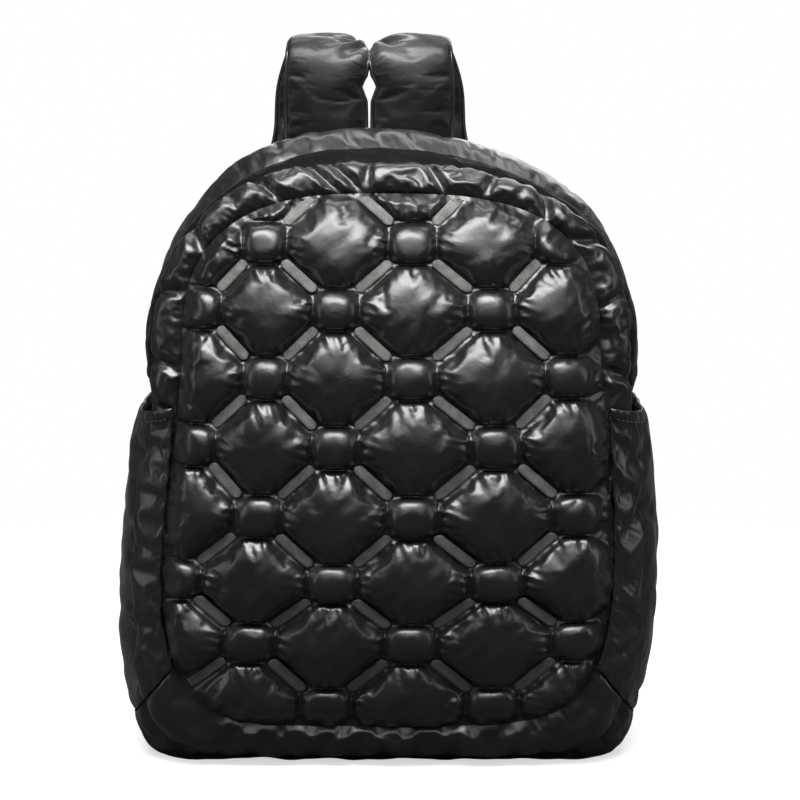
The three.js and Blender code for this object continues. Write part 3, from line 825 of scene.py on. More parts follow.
    @staticmethod
    def move_to(piece: bpy.types.Object, points: Array) -> None:
        """Move the corners of a piece."""
        piece.data.vertices.foreach_set("co", np.ascontiguousarray(points, float).ravel())
        piece.data.update()

    @staticmethod
    def bake(piece: bpy.types.Object) -> None:
        """Apply the piece's modifiers to its mesh."""
        view = bpy.context.evaluated_depsgraph_get()
        mesh = bpy.data.meshes.new_from_object(piece.evaluated_get(view))
        piece.modifiers.clear()
        old = piece.data
        piece.data = mesh
        bpy.data.meshes.remove(old)
        mesh.name = piece.name

    @classmethod
    def refine(cls, piece: bpy.types.Object) -> None:
        """Subdivide a piece smoothly once."""
        modifier = piece.modifiers.new("finer", "SUBSURF")
        modifier.levels = modifier.render_levels = 1
        modifier.boundary_smooth = "PRESERVE_CORNERS"
        modifier.uv_smooth = "NONE"
        cls.bake(piece)
        piece.data.shade_smooth()

    @classmethod
    def thicken(cls, piece: bpy.types.Object, thickness: float) -> None:
        """Give an open sheet a thickness inwards, in millimetres."""
        modifier = piece.modifiers.new("cloth", "SOLIDIFY")
        modifier.thickness = thickness * MM
        modifier.offset = -1
        cls.bake(piece)
        piece.data.shade_smooth()


@dataclass(frozen=True)
class Inflation:
    """How a cloth piece is blown up: its pressure, spare cloth as a share, and the most that a point moves, mm."""

    pressure: float = 4.0
    spare: float = 0.08
    cap: float = 8.0
    bending: float = 0.02
    stiffness: float = 20.0


class ClothBench:
    """Inflates all cloth pieces together, then writes the result into their meshes."""

    FRAMES = 14

    def __init__(self) -> None:
        """Start with an empty bench."""
        self.jobs: list[tuple[bpy.types.Object, Inflation, Array, Array]] = []

    def add(self, sheet: Sheet, held: Array, how: Inflation) -> None:
        """Put a sheet on the bench.

        Args:
            sheet: the sheet, in its starting shape.
            held: how firmly each corner is held, 0 to 1.
            how: its inflation.
        """
        piece = sheet.piece
        group = piece.vertex_groups.new(name="held")
        for level in np.unique(np.round(held, 2)):
            if level > 0:
                group.add(np.flatnonzero(np.round(held, 2) == level).tolist(), float(level), "REPLACE")
        modifier = piece.modifiers.new("cloth", "CLOTH")
        cloth = modifier.settings
        cloth.quality = 5
        cloth.mass = 0.12
        cloth.tension_stiffness = how.stiffness
        cloth.compression_stiffness = how.stiffness * 0.6
        cloth.shear_stiffness = how.stiffness * 0.4
        cloth.bending_stiffness = how.bending
        cloth.tension_damping = cloth.compression_damping = 8
        cloth.air_damping = 2
        cloth.vertex_group_mass = "held"
        cloth.use_pressure = True
        cloth.uniform_pressure_force = how.pressure
        cloth.shrink_min = -how.spare
        cloth.shrink_max = -how.spare
        cloth.effector_weights.gravity = 0
        modifier.collision_settings.use_collision = False
        modifier.point_cache.frame_start = 1
        modifier.point_cache.frame_end = self.FRAMES
        self.jobs.append((piece, how, Loom.positions(piece), held))

    def run(self) -> None:
        """Step the cloth, cap the movement and leave plain meshes."""
        if not self.jobs:
            return
        scene = bpy.context.scene
        for step in range(1, self.FRAMES + 1):
            scene.frame_set(step)
        view = bpy.context.evaluated_depsgraph_get()
        for piece, how, start, held in self.jobs:
            result = piece.evaluated_get(view).to_mesh()
            values = np.empty(len(result.vertices) * 3)
            result.vertices.foreach_get("co", values)
            piece.evaluated_get(view).to_mesh_clear()
            move = np.nan_to_num(values.reshape(-1, 3) - start)
            length = np.linalg.norm(move, axis=1, keepdims=True)
            cap = how.cap * MM
            LOG.info("%s moved %.1f mm at most, %.1f mm on average", piece.name, length.max() / MM,
                     length.mean() / MM)
            move *= cap * np.tanh(length / cap) / np.maximum(length, 1e-9)
            move[held >= 0.999] = 0
            points = start + move
            points[:, 2] = np.maximum(points[:, 2], 0)
            piece.modifiers.clear()
            piece.vertex_groups.clear()
            Loom.move_to(piece, points)
        scene.frame_set(1)


# ---------------------------------------------------------------- sub-assemblies


class Assembly:
    """What every sub-assembly shares: the bag's shape, the finishes and the bench."""

    def __init__(self, shape: BagShape, finishes: Finishes, bench: ClothBench) -> None:
        """Keep the shared things.

        Args:
            shape: the bag's surfaces.
            finishes: the materials.
            bench: where cloth is inflated.
        """
        self.shape = shape
        self.finishes = finishes
        self.bench = bench

    def build(self) -> None:
        """Make the pieces, and put the cloth ones on the bench."""

    def finish(self) -> None:
        """Finish the pieces that were on the bench."""

    def dress(
        self,
        piece: bpy.types.Object,
        finish: bpy.types.Material,
        slot: Slot,
        nodes: Sequence[str] = (),
        fill: float | None = None,
    ) -> None:
        """Give a piece its finish, its body and the CAD nodes that it stands for."""
        piece.data.materials.clear()
        piece.data.materials.append(finish)
        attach(piece, "root")
        if nodes:
            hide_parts(*nodes)

    def snap_edge(self, bm: bmesh.types.BMesh, index: int) -> None:
        """Move a cut cloth's edge onto a rim, seen from the front, and merge what then meets.

        Args:
            bm: the cloth, its corners' x and z in millimetres.
            index: the rim.
        """
        outline = self.shape.rim(index, np.linspace(0, 1, 1200))
        for vert in bm.verts:
            if vert.is_boundary:
                nearest = np.argmin((outline[:, 0] - vert.co.x) ** 2 + (outline[:, 2] - vert.co.z) ** 2)
                vert.co.x, vert.co.z = outline[nearest, 0], outline[nearest, 2]
        bmesh.ops.remove_doubles(bm, verts=[vert for vert in bm.verts if vert.is_boundary], dist=0.45)
        thin = [face for face in bm.faces if face.calc_area() < 0.05]
        bmesh.ops.delete(bm, geom=thin, context="FACES")
        loose = [vert for vert in bm.verts if not vert.link_faces]
        bmesh.ops.delete(bm, geom=loose, context="VERTS")

    @staticmethod
    def pucker(piece: bpy.types.Object, arc: Array, away: Array, depth: float) -> None:
        """Gather a cloth along its seam.

        Args:
            piece: the cloth.
            arc: how far along the seam its corners are, mm.
            away: how far from the seam they are, mm.
            depth: height of the gathers, mm.
        """
        fine = np.sin(arc / 1.6 + 2.4 * np.sin(arc / 9)) * np.sin(arc / 17 + 1.3)
        coarse = 0.9 * np.sin(arc / 3.6 + 2 * np.sin(arc / 15))
        gain = bell(away, 6.5) * smooth(away, 0, 2.5)
        lift = depth * (fine + coarse) * gain
        Loom.move_to(piece, Loom.positions(piece) + Loom.normals(piece) * lift[:, None] * MM)

    def stitches(self, name: str, path: Array, out: Array, pitch: float = 3.4, length: float = 2.5) -> bpy.types.Object:
        """A row of stitches along a line of points in metres, standing a little off the cloth.

        Args:
            name: the piece's name.
            path: (n, 3) points.
            out: (n, 3) directions off the cloth.
            pitch: from one stitch to the next, mm.
            length: a stitch's length, mm.

        Returns:
            The piece.
        """
        steps = lengths(path)
        marks = np.arange(pitch / 2, steps[-1] / MM, pitch) * MM
        spots = sample(marks, steps, path)
        alongs = unit(sample(marks + 0.001, steps, path) - spots)
        places = []
        for spot, along, up in zip(spots, alongs, unit(sample(marks, steps, out))):
            side = unit(np.cross(up, along))
            up = np.cross(along, side)
            axes = [along * length / 2 * MM, side * 0.26 * MM, up * 0.22 * MM]
            places.append(placing(axes, spot + up * 0.1 * MM))
        form = bmesh.new()
        bmesh.ops.create_uvsphere(form, u_segments=6, v_segments=5, radius=1)
        return Loom.stamp(name, form, places)


@dataclass(frozen=True)
class QuiltSizes:
    """Sizes of the quilting, mm."""

    pitch_across: float = 47.8
    pitch_spread: float = 0.16
    pitch_up: float = 40.4
    middle_x: float = 15
    middle_z: float = 202
    ribbon_width: float = 6.2
    ribbon_length: float = 28
    ribbon_thickness: float = 0.7
    ribbon_clear: float = 0.5
    ribbon_margin: float = 1.8
    large_puff: float = 12.5
    large_reach: float = 20
    small_puff: float = 11.5
    small_reach: float = 12
    crease: float = 0.1
    knot_squareness: float = 3.2
    knot_growth: float = 1.14
    cells: int = 30


# How far single small puffs sit from the even lattice, by their whole lattice numbers: right and up, mm.
KNOT_SHIFTS = {
    (0, -2): (-1.2, 0.5), (1, -1): (-3.1, 0.5), (2, 0): (-7.5, 0.5), (-1, -2): (10, 2.7), (0, -1): (-2.1, 2.7),
    (1, 0): (-0.2, 2.7), (-1, -1): (3.3, 2.7), (0, 0): (-3.6, 2.7), (1, 1): (-3, 2.7), (-2, -1): (10, 2.2),
    (-1, 0): (-1.1, 2.2), (0, 1): (0.7, 2.2), (-2, 0): (2.7, 0.2), (-1, 1): (-1.7, 0.2), (0, 2): (0.7, 0.2),
    (-3, 0): (4.9, -0.3), (-2, 1): (1.2, -0.3), (-1, 2): (1.8, -0.3), (-3, 1): (2.8, 3.2), (-2, 2): (-0.3, 3.2),
    (-1, 3): (1, 3.2),
}


class QuiltedFront(Assembly):
    """The quilted front panel: large and small puffs sewn down by ribbons."""

    SEED = 5
    SEAM_GATHERS = 0.6
    GATHER_HEIGHT = 0.55
    GROOVE_DEPTH = 1.7

    def __init__(self, *shared: object, sizes: QuiltSizes = QuiltSizes()) -> None:
        """Work out the lattice.

        Args:
            shared: what every assembly shares.
            sizes: the quilting's sizes.
        """
        super().__init__(*shared)
        self.sizes = sizes
        self.side = math.hypot(sizes.pitch_across, sizes.pitch_up)
        self.gap = 2 * sizes.pitch_across * sizes.pitch_up / self.side
        self.half = (sizes.ribbon_width / 2 + sizes.ribbon_margin) / self.gap
        self.reach = (1 - sizes.ribbon_length / self.side) / 2

    def spot(self, a: Array, b: Array) -> tuple[Array, Array]:
        """x and z of lattice places, whose whole numbers are the small puffs."""
        sizes = self.sizes
        z = sizes.middle_z + sizes.pitch_up * (a - b + 1)
        spread = 1 + sizes.pitch_spread * (0.5 - z / self.shape.size.height)
        x = sizes.middle_x + sizes.pitch_across * spread * (a + b)
        right, up = np.zeros_like(x), np.zeros_like(z)
        for (knot_a, knot_b), (to_right, upwards) in KNOT_SHIFTS.items():
            share = np.clip(1 - np.abs(a - knot_a), 0, 1) * np.clip(1 - np.abs(b - knot_b), 0, 1)
            right, up = right + share * to_right, up + share * upwards
        return x + right, z + up

    def ring(self, near_a: Array, near_b: Array) -> Array:
        """How far outside the rounded seam of the nearest small puff places are, in lattice steps."""
        power = self.sizes.knot_squareness
        across, up = near_a + near_b, np.abs(near_a - near_b)
        return (across**power + up**power) ** (1 / power) - self.reach * self.sizes.knot_growth

    def height(self, a: Array, b: Array, fullness: float) -> Array:
        """Height of the quilt at lattice places, mm."""
        sizes = self.sizes
        near_a = np.abs(a - np.round(a))
        near_b = np.abs(b - np.round(b))
        ring = self.ring(near_a, near_b)
        line = np.minimum(near_a, near_b) * self.gap - sizes.ribbon_width / 2 - sizes.ribbon_margin
        crease = ring * (sizes.pitch_across + sizes.pitch_up) / 2
        wall = np.minimum(np.maximum(line, 0), np.maximum(crease, 0))
        large = sizes.large_puff * np.sqrt(1 - (1 - np.clip(wall / sizes.large_reach, 0, 1)) ** 2)
        small = sizes.small_puff * np.sqrt(np.clip(1 - (1 + crease / sizes.small_reach) ** 2, 0, 1))
        on_crease = sizes.crease * bell(crease, 3) * smooth(line, -2.8, 2)
        return fullness * np.where(ring > 0, large, small) + on_crease

    def _sheet(self) -> Sheet:
        """The panel's cloth, its corners on the lattice and its edge on the seam."""
        sizes, shape = self.sizes, self.shape
        inner = np.linspace(self.half, 1 - self.half, sizes.cells + 1)
        cuts = np.concatenate([[-self.half, 0], inner[:-1]])
        lattice_cells = 9
        steps = lattice_cells * len(cuts)
        ladder = np.concatenate([cuts + k for k in range(-4, lattice_cells - 4)])
        bm, corners = Loom.grid((steps - 1, steps - 1))
        index = np.round((corners / 2 + 0.5) * (steps - 1)).astype(int)
        a, b = ladder[index[:, 0]], ladder[index[:, 1]]
        x, z = self.spot(a, b)
        inside = shape.inside_panel(x, z)
        outside = [face for face in bm.faces if np.mean([inside[v.index] for v in face.verts]) < 0.4]
        along_u, along_v = bm.verts.layers.float.new("u"), bm.verts.layers.float.new("v")
        for vert, one, other in zip(bm.verts, a, b):
            vert[along_u], vert[along_v] = one, other
            vert.co.x, vert.co.z = x[vert.index], z[vert.index]
        bmesh.ops.delete(bm, geom=outside, context="FACES")
        self.snap_edge(bm, 0)
        Loom.turn(bm, backwards=False)
        u = np.array([vert[along_u] for vert in bm.verts])
        v = np.array([vert[along_v] for vert in bm.verts])
        return Sheet(Loom.smooth_piece("quilted_front", bm), u, v)

    def build(self) -> None:
        """Make the cloth and put it on the bench."""
        sheet = self._sheet()
        shape, sizes = self.shape, self.sizes
        flat = Loom.positions(sheet.piece)
        x, z = flat[:, 0], flat[:, 2]
        edge = np.zeros(len(flat), bool)
        bm = bmesh.new()
        bm.from_mesh(sheet.piece.data)
        edge[[vert.index for vert in bm.verts if vert.is_boundary]] = True
        bm.free()
        inside = np.maximum(shape.inside_panel(x, z), 0)
        fullness = starting(0.85)
        fade = smooth(inside, -2, 5.5)
        high = self.height(sheet.u, sheet.v, fullness) * fade
        near_a, near_b = np.abs(sheet.u - np.round(sheet.u)), np.abs(sheet.v - np.round(sheet.v))
        ring = self.ring(near_a, near_b)
        uneven = Ripples(self.SEED, 13).at(flat) * 0.4 * smooth(np.minimum(np.abs(ring) * self.gap, inside), 0, 5)
        y = shape.panel_face(x, z) - high - uneven
        points = shape.to_frame(np.stack([x, y, z], axis=1))
        Loom.move_to(sheet.piece, points)
        strip_half = sizes.ribbon_length / 2 / self.side
        on_strip = ((near_a <= self.half * 1.05) & (np.abs(near_b - 0.5) <= strip_half)) | (
            (near_b <= self.half * 1.05) & (np.abs(near_a - 0.5) <= strip_half)
        )
        step = (1 - 2 * self.half) / sizes.cells
        on_ring = (np.abs(ring) < step * 0.5) & (np.minimum(near_a, near_b) > self.half * 1.5)
        held = np.where(edge | on_strip, 1.0, np.where(on_ring, 0.9, 0.0))
        self.bench.add(sheet, held, Inflation(pressure=18, spare=0.035, cap=7, bending=0.5))
        self.sheet = sheet
        self._ribbons()

    def _ribbons(self) -> None:
        """The short ribbons that sew the quilt down."""
        shape, sizes = self.shape, self.sizes
        knots = [(a, b) for a in range(-5, 7) for b in range(-5, 7)]
        lines = [line for a, b in knots for line in ((a, b + 0.5, True), (a + 0.5, b, False))]
        made: list[Array] = []
        grid, local = Loom.grid((4, 26))
        radius = sizes.ribbon_width / 2
        along = local[:, 1] * sizes.ribbon_length / 2
        past = np.clip(np.abs(along) - (sizes.ribbon_length / 2 - radius), 0, radius)
        across = local[:, 0] * np.maximum(np.sqrt(np.maximum(radius**2 - past**2, 0)), 0.05)
        for a, b, upright in lines:
            middle = self.spot(np.array([a]), np.array([b]))
            if shape.inside_panel(*middle)[0] < 4:
                continue
            run = along / self.side
            wide = across / self.gap
            x, z = self.spot(a + (wide if upright else run), b + (run if upright else wide))
            keep = shape.inside_panel(x, z)
            if keep.min() < 0.5:
                slip = np.clip(1 - keep / 2, 0, 1)
                if (keep < 0.2).mean() > 0.45:
                    continue
                x, z = lerp(x, middle[0][0], slip * 0.35), lerp(z, middle[1][0], slip * 0.35)
            lift = sizes.ribbon_thickness * (1 - 0.35 * local[:, 0] ** 2) + sizes.ribbon_clear
            made.append(shape.to_frame(np.stack([x, shape.panel_face(x, z) - lift, z], axis=1)))
        mesh = bpy.data.meshes.new("quilt_ribbons")
        mesh.from_pydata(np.concatenate(made).tolist(), [], Loom.copies(grid, len(made)))
        grid.free()
        flat = mesh.uv_layers.new(name="cloth")
        order = np.empty(len(mesh.loops), int)
        mesh.loops.foreach_get("vertex_index", order)
        spots = np.stack([across, along], axis=1)[order % len(local)] * MM
        flat.data.foreach_set("uv", spots.ravel())
        piece = Loom.link("quilt_ribbons", mesh)
        bm = bmesh.new()
        bm.from_mesh(mesh)
        Loom.turn(bm, backwards=False)
        bm.to_mesh(mesh)
        bm.free()
        Loom.thicken(piece, sizes.ribbon_thickness)
        self.dress(piece, self.finishes.ribbon, Slot.TAPE)
        LOG.info("%d ribbons", len(made))

    def _gather(self, piece: bpy.types.Object) -> None:
        """Small gathers along the creases round each small puff and at the ribbons' ends."""
        u, v = (Loom.layer(piece, name) for name in ("u", "v"))
        points = Loom.positions(piece)
        near_a, near_b = np.abs(u - np.round(u)), np.abs(v - np.round(v))
        ring = self.ring(near_a, near_b) * (self.sizes.pitch_across + self.sizes.pitch_up) / 2
        along = (near_a - near_b) * self.side
        turn = np.round(u) * 1.7 + np.round(v) * 2.9
        outside = smooth(ring, 0.3, 2.8)
        near = np.sin(along * 1.2 + turn + np.sin(along * 0.45 + turn)) * bell(ring, 3.6) * (0.12 + outside)
        far = 1.3 * np.sin(along * 0.7 + ring * 0.3 + turn * 2) * bell(ring, 8) * outside
        groove = -self.GROOVE_DEPTH * bell(ring, 1.7)
        clear = smooth(np.minimum(near_a, near_b) * self.gap, 1.5, 5)
        # The body's lean is left out of the way back to the shape's own x, because this only fades the edge.
        inside = self.shape.inside_panel(points[:, 0] / MM + 2.9, points[:, 2] / MM)
        lift = (self.GATHER_HEIGHT * (near + far) + groove) * clear * smooth(inside, 2, 9)
        points[:, 1] -= lift * MM
        Loom.move_to(piece, points)

    def finish(self) -> None:
        """Refine the inflated cloth, gather it and give it its finish."""
        piece, shape = self.sheet.piece, self.shape
        Loom.refine(piece)
        self._gather(piece)
        points = Loom.positions(piece) / MM - [*shape.size.shift, 0]
        points[:, 0] -= shape.sway(points[:, 2])
        arc = np.arctan2(points[:, 2] - 0.5 * shape.size.height, points[:, 0]) * 0.45 * shape.size.height
        self.pucker(piece, arc, np.maximum(shape.inside_panel(points[:, 0], points[:, 2]), 0), self.SEAM_GATHERS)
        self.dress(piece, self.finishes.nylon, Slot.NYLON, ["front_panel"], fill=0.8)


@dataclass(frozen=True)
class WallPlan:
    """A wall of the body: its name, the CAD node it stands for, its stretch of the skin, and how it is blown up."""

    name: str
    node: str
    share: tuple[float, float]
    rows: tuple[float, float]
    cells: tuple[int, int]
    how: Inflation
    seed: int
    uneven: float = 0.5


class BodyWalls(Assembly):
    """The sewn walls round the front panel: border, gussets, sides and base, with the lining behind their seams."""

    SEAM_GATHERS = 0.35
    FLANK_PUFF = 3.4
    LINING_CLOTH = 0.4
    LINING_DEPTH = 3.4
    LINING_TURN = 0.4
    LINING_DRAWN_IN = 0.14

    def plans(self) -> list[WallPlan]:
        """What each wall is."""
        size = self.shape.size
        corner, zip_end, tape = size.corner_end, size.zip_end, size.zip_half_row
        return [
            WallPlan("puffy_border", "front_border", (corner, 1 - corner), (0, 1), (430, 14),
                     Inflation(10, 0.05, 7, 0.3), 11),
            WallPlan("front_gusset", "gusset_front", (zip_end, 1 - zip_end), (1, 3 - tape), (300, 16),
                     Inflation(8, 0.025, 3.5, 0.3), 12, 0.35),
            WallPlan("back_gusset", "gusset_back", (zip_end, 1 - zip_end), (3 + tape, 5), (300, 16),
                     Inflation(8, 0.025, 3.5, 0.3), 13, 0.35),
            WallPlan("right_side", "side_panel_right", (corner, zip_end), (1, 5), (90, 54),
                     Inflation(4, 0.02, 3, 0.3), 14, 0.5),
            WallPlan("left_side", "side_panel_left", (1 - zip_end, 1 - corner), (1, 5), (90, 54),
                     Inflation(4, 0.02, 3, 0.3), 15, 0.5),
            WallPlan("lower_band", "base_panel", (-corner, corner), (0, 5), (170, 64),
                     Inflation(7, 0.045, 4, 0.3), 16, 1.7),
        ]

    def _bulge(self, plan: WallPlan, share: Array, row: Array) -> Array:
        """Starting height of a wall off the skin, mm."""
        shape = self.shape
        if plan.node == "front_border":
            return shape.border_bulge(share, row) * starting(0.7)
        if plan.node == "base_panel":
            corner = smooth(np.abs(share), 0.45 * plan.share[1], plan.share[1])
            flank = self.FLANK_PUFF * corner * smooth(row, 1, 1.4) * (1 - smooth(row, 4.6, 5))
            return np.where(row < 1, shape.size.base_puff * crown(np.minimum(row, 1)), flank)
        return shape.side_give(share, row)

    def _held(self, plan: WallPlan, share: Array, row: Array, points: Array) -> Array:
        """Corners that seams, tucks and the ground hold."""
        inset = 0.6 / plan.cells[1] * (plan.rows[1] - plan.rows[0])
        held = (row < plan.rows[0] + inset) | (row > plan.rows[1] - inset)
        end = 0.6 / plan.cells[0] * (plan.share[1] - plan.share[0])
        held |= (share < plan.share[0] + end) | (share > plan.share[1] - end)
        if plan.node == "front_border":
            step = (plan.share[1] - plan.share[0]) / plan.cells[0]
            for tuck in TUCKS:
                middle = tuck.at + tuck.slant * (row - 0.5)
                pinched = (np.abs(share - middle) < step * 0.55) & (row < 0.25 + 0.65 * tuck.depth)
                held |= pinched & (tuck.depth > 0.4)
        if plan.node == "base_panel":
            held |= points[:, 2] < 0.0015
            held |= np.abs(row - 1) < inset * 0.7
        return held.astype(float)

    def build(self) -> None:
        """Make every wall and put it on the bench."""
        shape = self.shape
        self.sheets: list[tuple[WallPlan, Sheet]] = []
        for plan in self.plans():
            uneven = Ripples(plan.seed, 22)

            def place(u: Array, v: Array, plan: WallPlan = plan, uneven: Ripples = uneven) -> Array:
                share = lerp(plan.share[0], plan.share[1], u)
                row = lerp(plan.rows[0], plan.rows[1], v)
                edge = crown(v) * crown(u) ** 0.3
                at = shape.skin(share, row)
                bulge = self._bulge(plan, share, row) + uneven.at(at) * plan.uneven * edge
                return shape.to_frame(shape.off_skin(share, row, bulge))

            length = abs(plan.share[1] - plan.share[0]) * 1.25
            sheet = Loom.weave(plan.name, plan.cells, place, facing=(0, 0, 0.2), uv_size=(length, 0.05))
            share = lerp(plan.share[0], plan.share[1], sheet.u)
            row = lerp(plan.rows[0], plan.rows[1], sheet.v)
            held = self._held(plan, share, row, Loom.positions(sheet.piece))
            self.bench.add(sheet, held, plan.how)
            self.sheets.append((plan, sheet))

    def finish(self) -> None:
        """Refine the walls and give them their finish."""
        for plan, sheet in self.sheets:
            Loom.refine(sheet.piece)
            if plan.node == "front_border":
                share, row = (Loom.layer(sheet.piece, name) for name in ("u", "v"))
                arc = share * 3.2 * self.shape.size.height
                self.pucker(sheet.piece, arc, np.minimum(row, 1 - row) * 30, self.SEAM_GATHERS)
            finish = self.finishes.lining if plan.node == "gusset_front" else self.finishes.nylon
            self.dress(sheet.piece, finish, Slot.NYLON, [plan.node], fill=0.5)
        self._lining()

    def _lining(self) -> None:
        """The dark lining behind the seams, turned in behind the front and back panels."""
        shape = self.shape

        def place(u: Array, v: Array) -> Array:
            reach = lerp(-self.LINING_TURN, 5 + self.LINING_TURN, v)
            row = np.clip(reach, 0, 5)
            turned = np.abs(reach - row) / self.LINING_TURN
            points = shape.off_skin(u, row, shape.side_give(u, row) - self.LINING_DEPTH, 2.0)
            points[:, 0] *= 1 - self.LINING_DRAWN_IN * turned
            points[:, 2] = lerp(points[:, 2], 0.5 * shape.size.height, self.LINING_DRAWN_IN * turned)
            points[:, 1] += np.where(row < 2.5, 3.0, -2.0) * (turned > 0)
            return shape.to_frame(points)

        lining = Loom.weave("bag_lining", (220, 58), place, joined=True)
        Loom.thicken(lining.piece, self.LINING_CLOTH)
        self.dress(lining.piece, self.finishes.lining, Slot.NYLON)


class BackPanel(Assembly):
    """The padded panel that rests against the back."""

    CELLS = (110, 150)
    CHANNEL_HEIGHTS = (150, 262)
    CHANNEL_HALF_WIDTH = 1.4
    CHANNEL_REACH = 125
    CHANNEL_DEPTH = 2.2

    def build(self) -> None:
        """Cut the panel along its seam and put it on the bench."""
        shape = self.shape
        size = shape.size
        bm, _ = Loom.grid(self.CELLS)
        outline = shape.rim(5, np.linspace(0, 0.5, 600))
        levels = np.linspace(-10, 400, 500)
        reach = np.interp(levels, outline[:, 2], outline[:, 0])
        for vert in bm.verts:
            x, z = vert.co.x * 0.5 * size.width, (vert.co.y * 0.5 + 0.5) * size.height
            vert.co = (x, 0, z)
        high, low = outline[-1, 2], outline[0, 2]
        outside = []
        for face in bm.faces:
            middle = face.calc_center_median()
            half = np.interp(middle.z, levels, reach)
            if abs(middle.x) > half or not low < middle.z < high:
                outside.append(face)
        bmesh.ops.delete(bm, geom=outside, context="FACES")
        self.snap_edge(bm, 5)
        edge = np.array([vert.is_boundary for vert in bm.verts])
        flat = np.array([vert.co for vert in bm.verts])
        Loom.turn(bm, backwards=True)
        x, z = flat[:, 0], flat[:, 2]
        channel = np.zeros(len(flat), bool)
        for level in self.CHANNEL_HEIGHTS:
            channel |= (np.abs(z - level) < self.CHANNEL_HALF_WIDTH) & (np.abs(x) < self.CHANNEL_REACH)
        depth = np.where(edge, shape.back_seat(z), shape.back_face(x, z))
        points = shape.to_frame(np.stack([x, depth - self.CHANNEL_DEPTH * channel, z], axis=1))
        sheet = Sheet(Loom.smooth_piece("padded_back", bm), x, z)
        Loom.move_to(sheet.piece, points)
        self.bench.add(sheet, (edge | channel).astype(float), Inflation(6, 0.015, 3.5, 0.3))
        self.sheet = sheet

    def finish(self) -> None:
        """Refine and dress the panel."""
        Loom.refine(self.sheet.piece)
        self.dress(self.sheet.piece, self.finishes.shell, Slot.NYLON, ["back_panel"], fill=0.4)


@dataclass(frozen=True)
class PocketSizes:
    """Sizes of a side pocket, mm."""

    slack: float = 4.5
    clear: float = 1.3
    wall: float = 1.5
    cloth: float = 1.0
    height: float = 190
    foot: float = 0.001
    edge: float = 0.03
    uneven: float = 0.9
    hem: float = 8.0
    hem_thickness: float = 1.3
    hem_waves: float = 0.5


class SidePocket(Assembly):
    """A patch pocket round one side, open at its top with a turned hem."""

    SEEDS = {"right": 21, "left": 22}

    def __init__(self, side: str, *shared: object, sizes: PocketSizes = PocketSizes()) -> None:
        """Choose the side.

        Args:
            side: right or left.
            shared: what every assembly shares.
            sizes: the pocket's sizes.
        """
        super().__init__(*shared)
        self.side = side
        self.sizes = sizes
        self.hem_share = sizes.hem / sizes.height
        low, high = self.shape.size.corner_end, 0.5
        for _ in range(30):
            middle = (low + high) / 2
            if self.shape.skin(np.array([middle]), 3.0)[0, 2] < self.shape.size.pocket_height:
                low = middle
            else:
                high = middle
        self.mouth = (low + high) / 2

    def _share(self, u: Array) -> Array:
        """Share of the way round at a share of the pocket's height."""
        rise = lerp(self.shape.size.corner_end + self.sizes.foot, self.mouth, u)
        return rise if self.side == "right" else 1 - rise

    def _row(self, v: Array) -> Array:
        """Row of the skin at a share of the way from the front seam to the back one."""
        return lerp(self.sizes.edge, 5 - self.sizes.edge, v)

    def _place(self, u: Array, v: Array) -> Array:
        """Points of the pocket; u runs up to its mouth, v from the front seam to the back one."""
        sizes, shape = self.sizes, self.shape
        share, row = self._share(u), self._row(v)
        plain = [Tuck(0.5, 0)]
        stand = sizes.clear + shape.border_bulge(share, row, plain) + sizes.slack * np.sin(math.pi * u) * crown(v)
        return shape.off_skin(share, row, stand + sizes.wall)

    def build(self) -> None:
        """Make the pocket and put it on the bench."""
        uneven = Ripples(self.SEEDS[self.side], 20)
        outwards = np.array([1 if self.side == "right" else -1, 0, 0])

        def place(u: Array, v: Array) -> Array:
            at = self._place(u, v)
            lift = uneven.at(at) * self.sizes.uneven * crown(u) * crown(v)
            return self.shape.to_frame(at + lift[:, None] * outwards)

        self.sheet = Loom.weave(f"pocket_cloth_{self.side}", (80, 84), place, facing=(0, 0, 0.15))
        u, v = self.sheet.u, self.sheet.v
        held = (u < 0.01) | (v < 0.01) | (v > 0.99) | (u > 0.99)
        self.bench.add(self.sheet, held.astype(float), Inflation(6, 0.03, 5, 0.3))

    def finish(self) -> None:
        """Add the hem and its stitching, then dress the pocket."""
        piece = self.sheet.piece
        Loom.refine(piece)
        Loom.thicken(piece, self.sizes.cloth)
        self.dress(piece, self.finishes.nylon, Slot.NYLON, [f"side_pocket_{self.side}"], fill=0.3)
        self._hem()
        line = np.linspace(0.02, 0.98, 160)
        rise = np.full_like(line, 1 - self.hem_share * 0.92)
        _, out = self.shape.skin_frame(self._share(rise), self._row(line))
        path = self._place(rise, line) + out * 0.9
        threads = self.stitches(f"pocket_stitches_{self.side}", self.shape.to_frame(path), out)
        self.dress(threads, self.finishes.thread, Slot.TAPE)

    def _hem(self) -> None:
        """The turned hem at the pocket's mouth."""
        sizes, shape = self.sizes, self.shape

        def place(u: Array, v: Array) -> Array:
            angle = u * 2 * math.pi
            rise = np.minimum(1 - self.hem_share / 2 + self.hem_share / 2 * np.cos(angle), 1.0)
            puff = sizes.hem_thickness * np.sin(angle)
            run = lerp(0.004, 0.996, v)
            _, out = shape.skin_frame(self._share(rise), self._row(run))
            wave = sizes.hem_waves * np.sin(v * 46 + 5 * np.sin(v * 7)) * crown(v)
            return shape.to_frame(self._place(rise, run) + out * (puff + wave - 0.3)[:, None])

        hem = Loom.weave(f"pocket_hem_{self.side}", (12, 90), place, joined=True, uv_size=(0.01, 0.2))
        Loom.refine(hem.piece)
        self.dress(hem.piece, self.finishes.shell, Slot.NYLON)


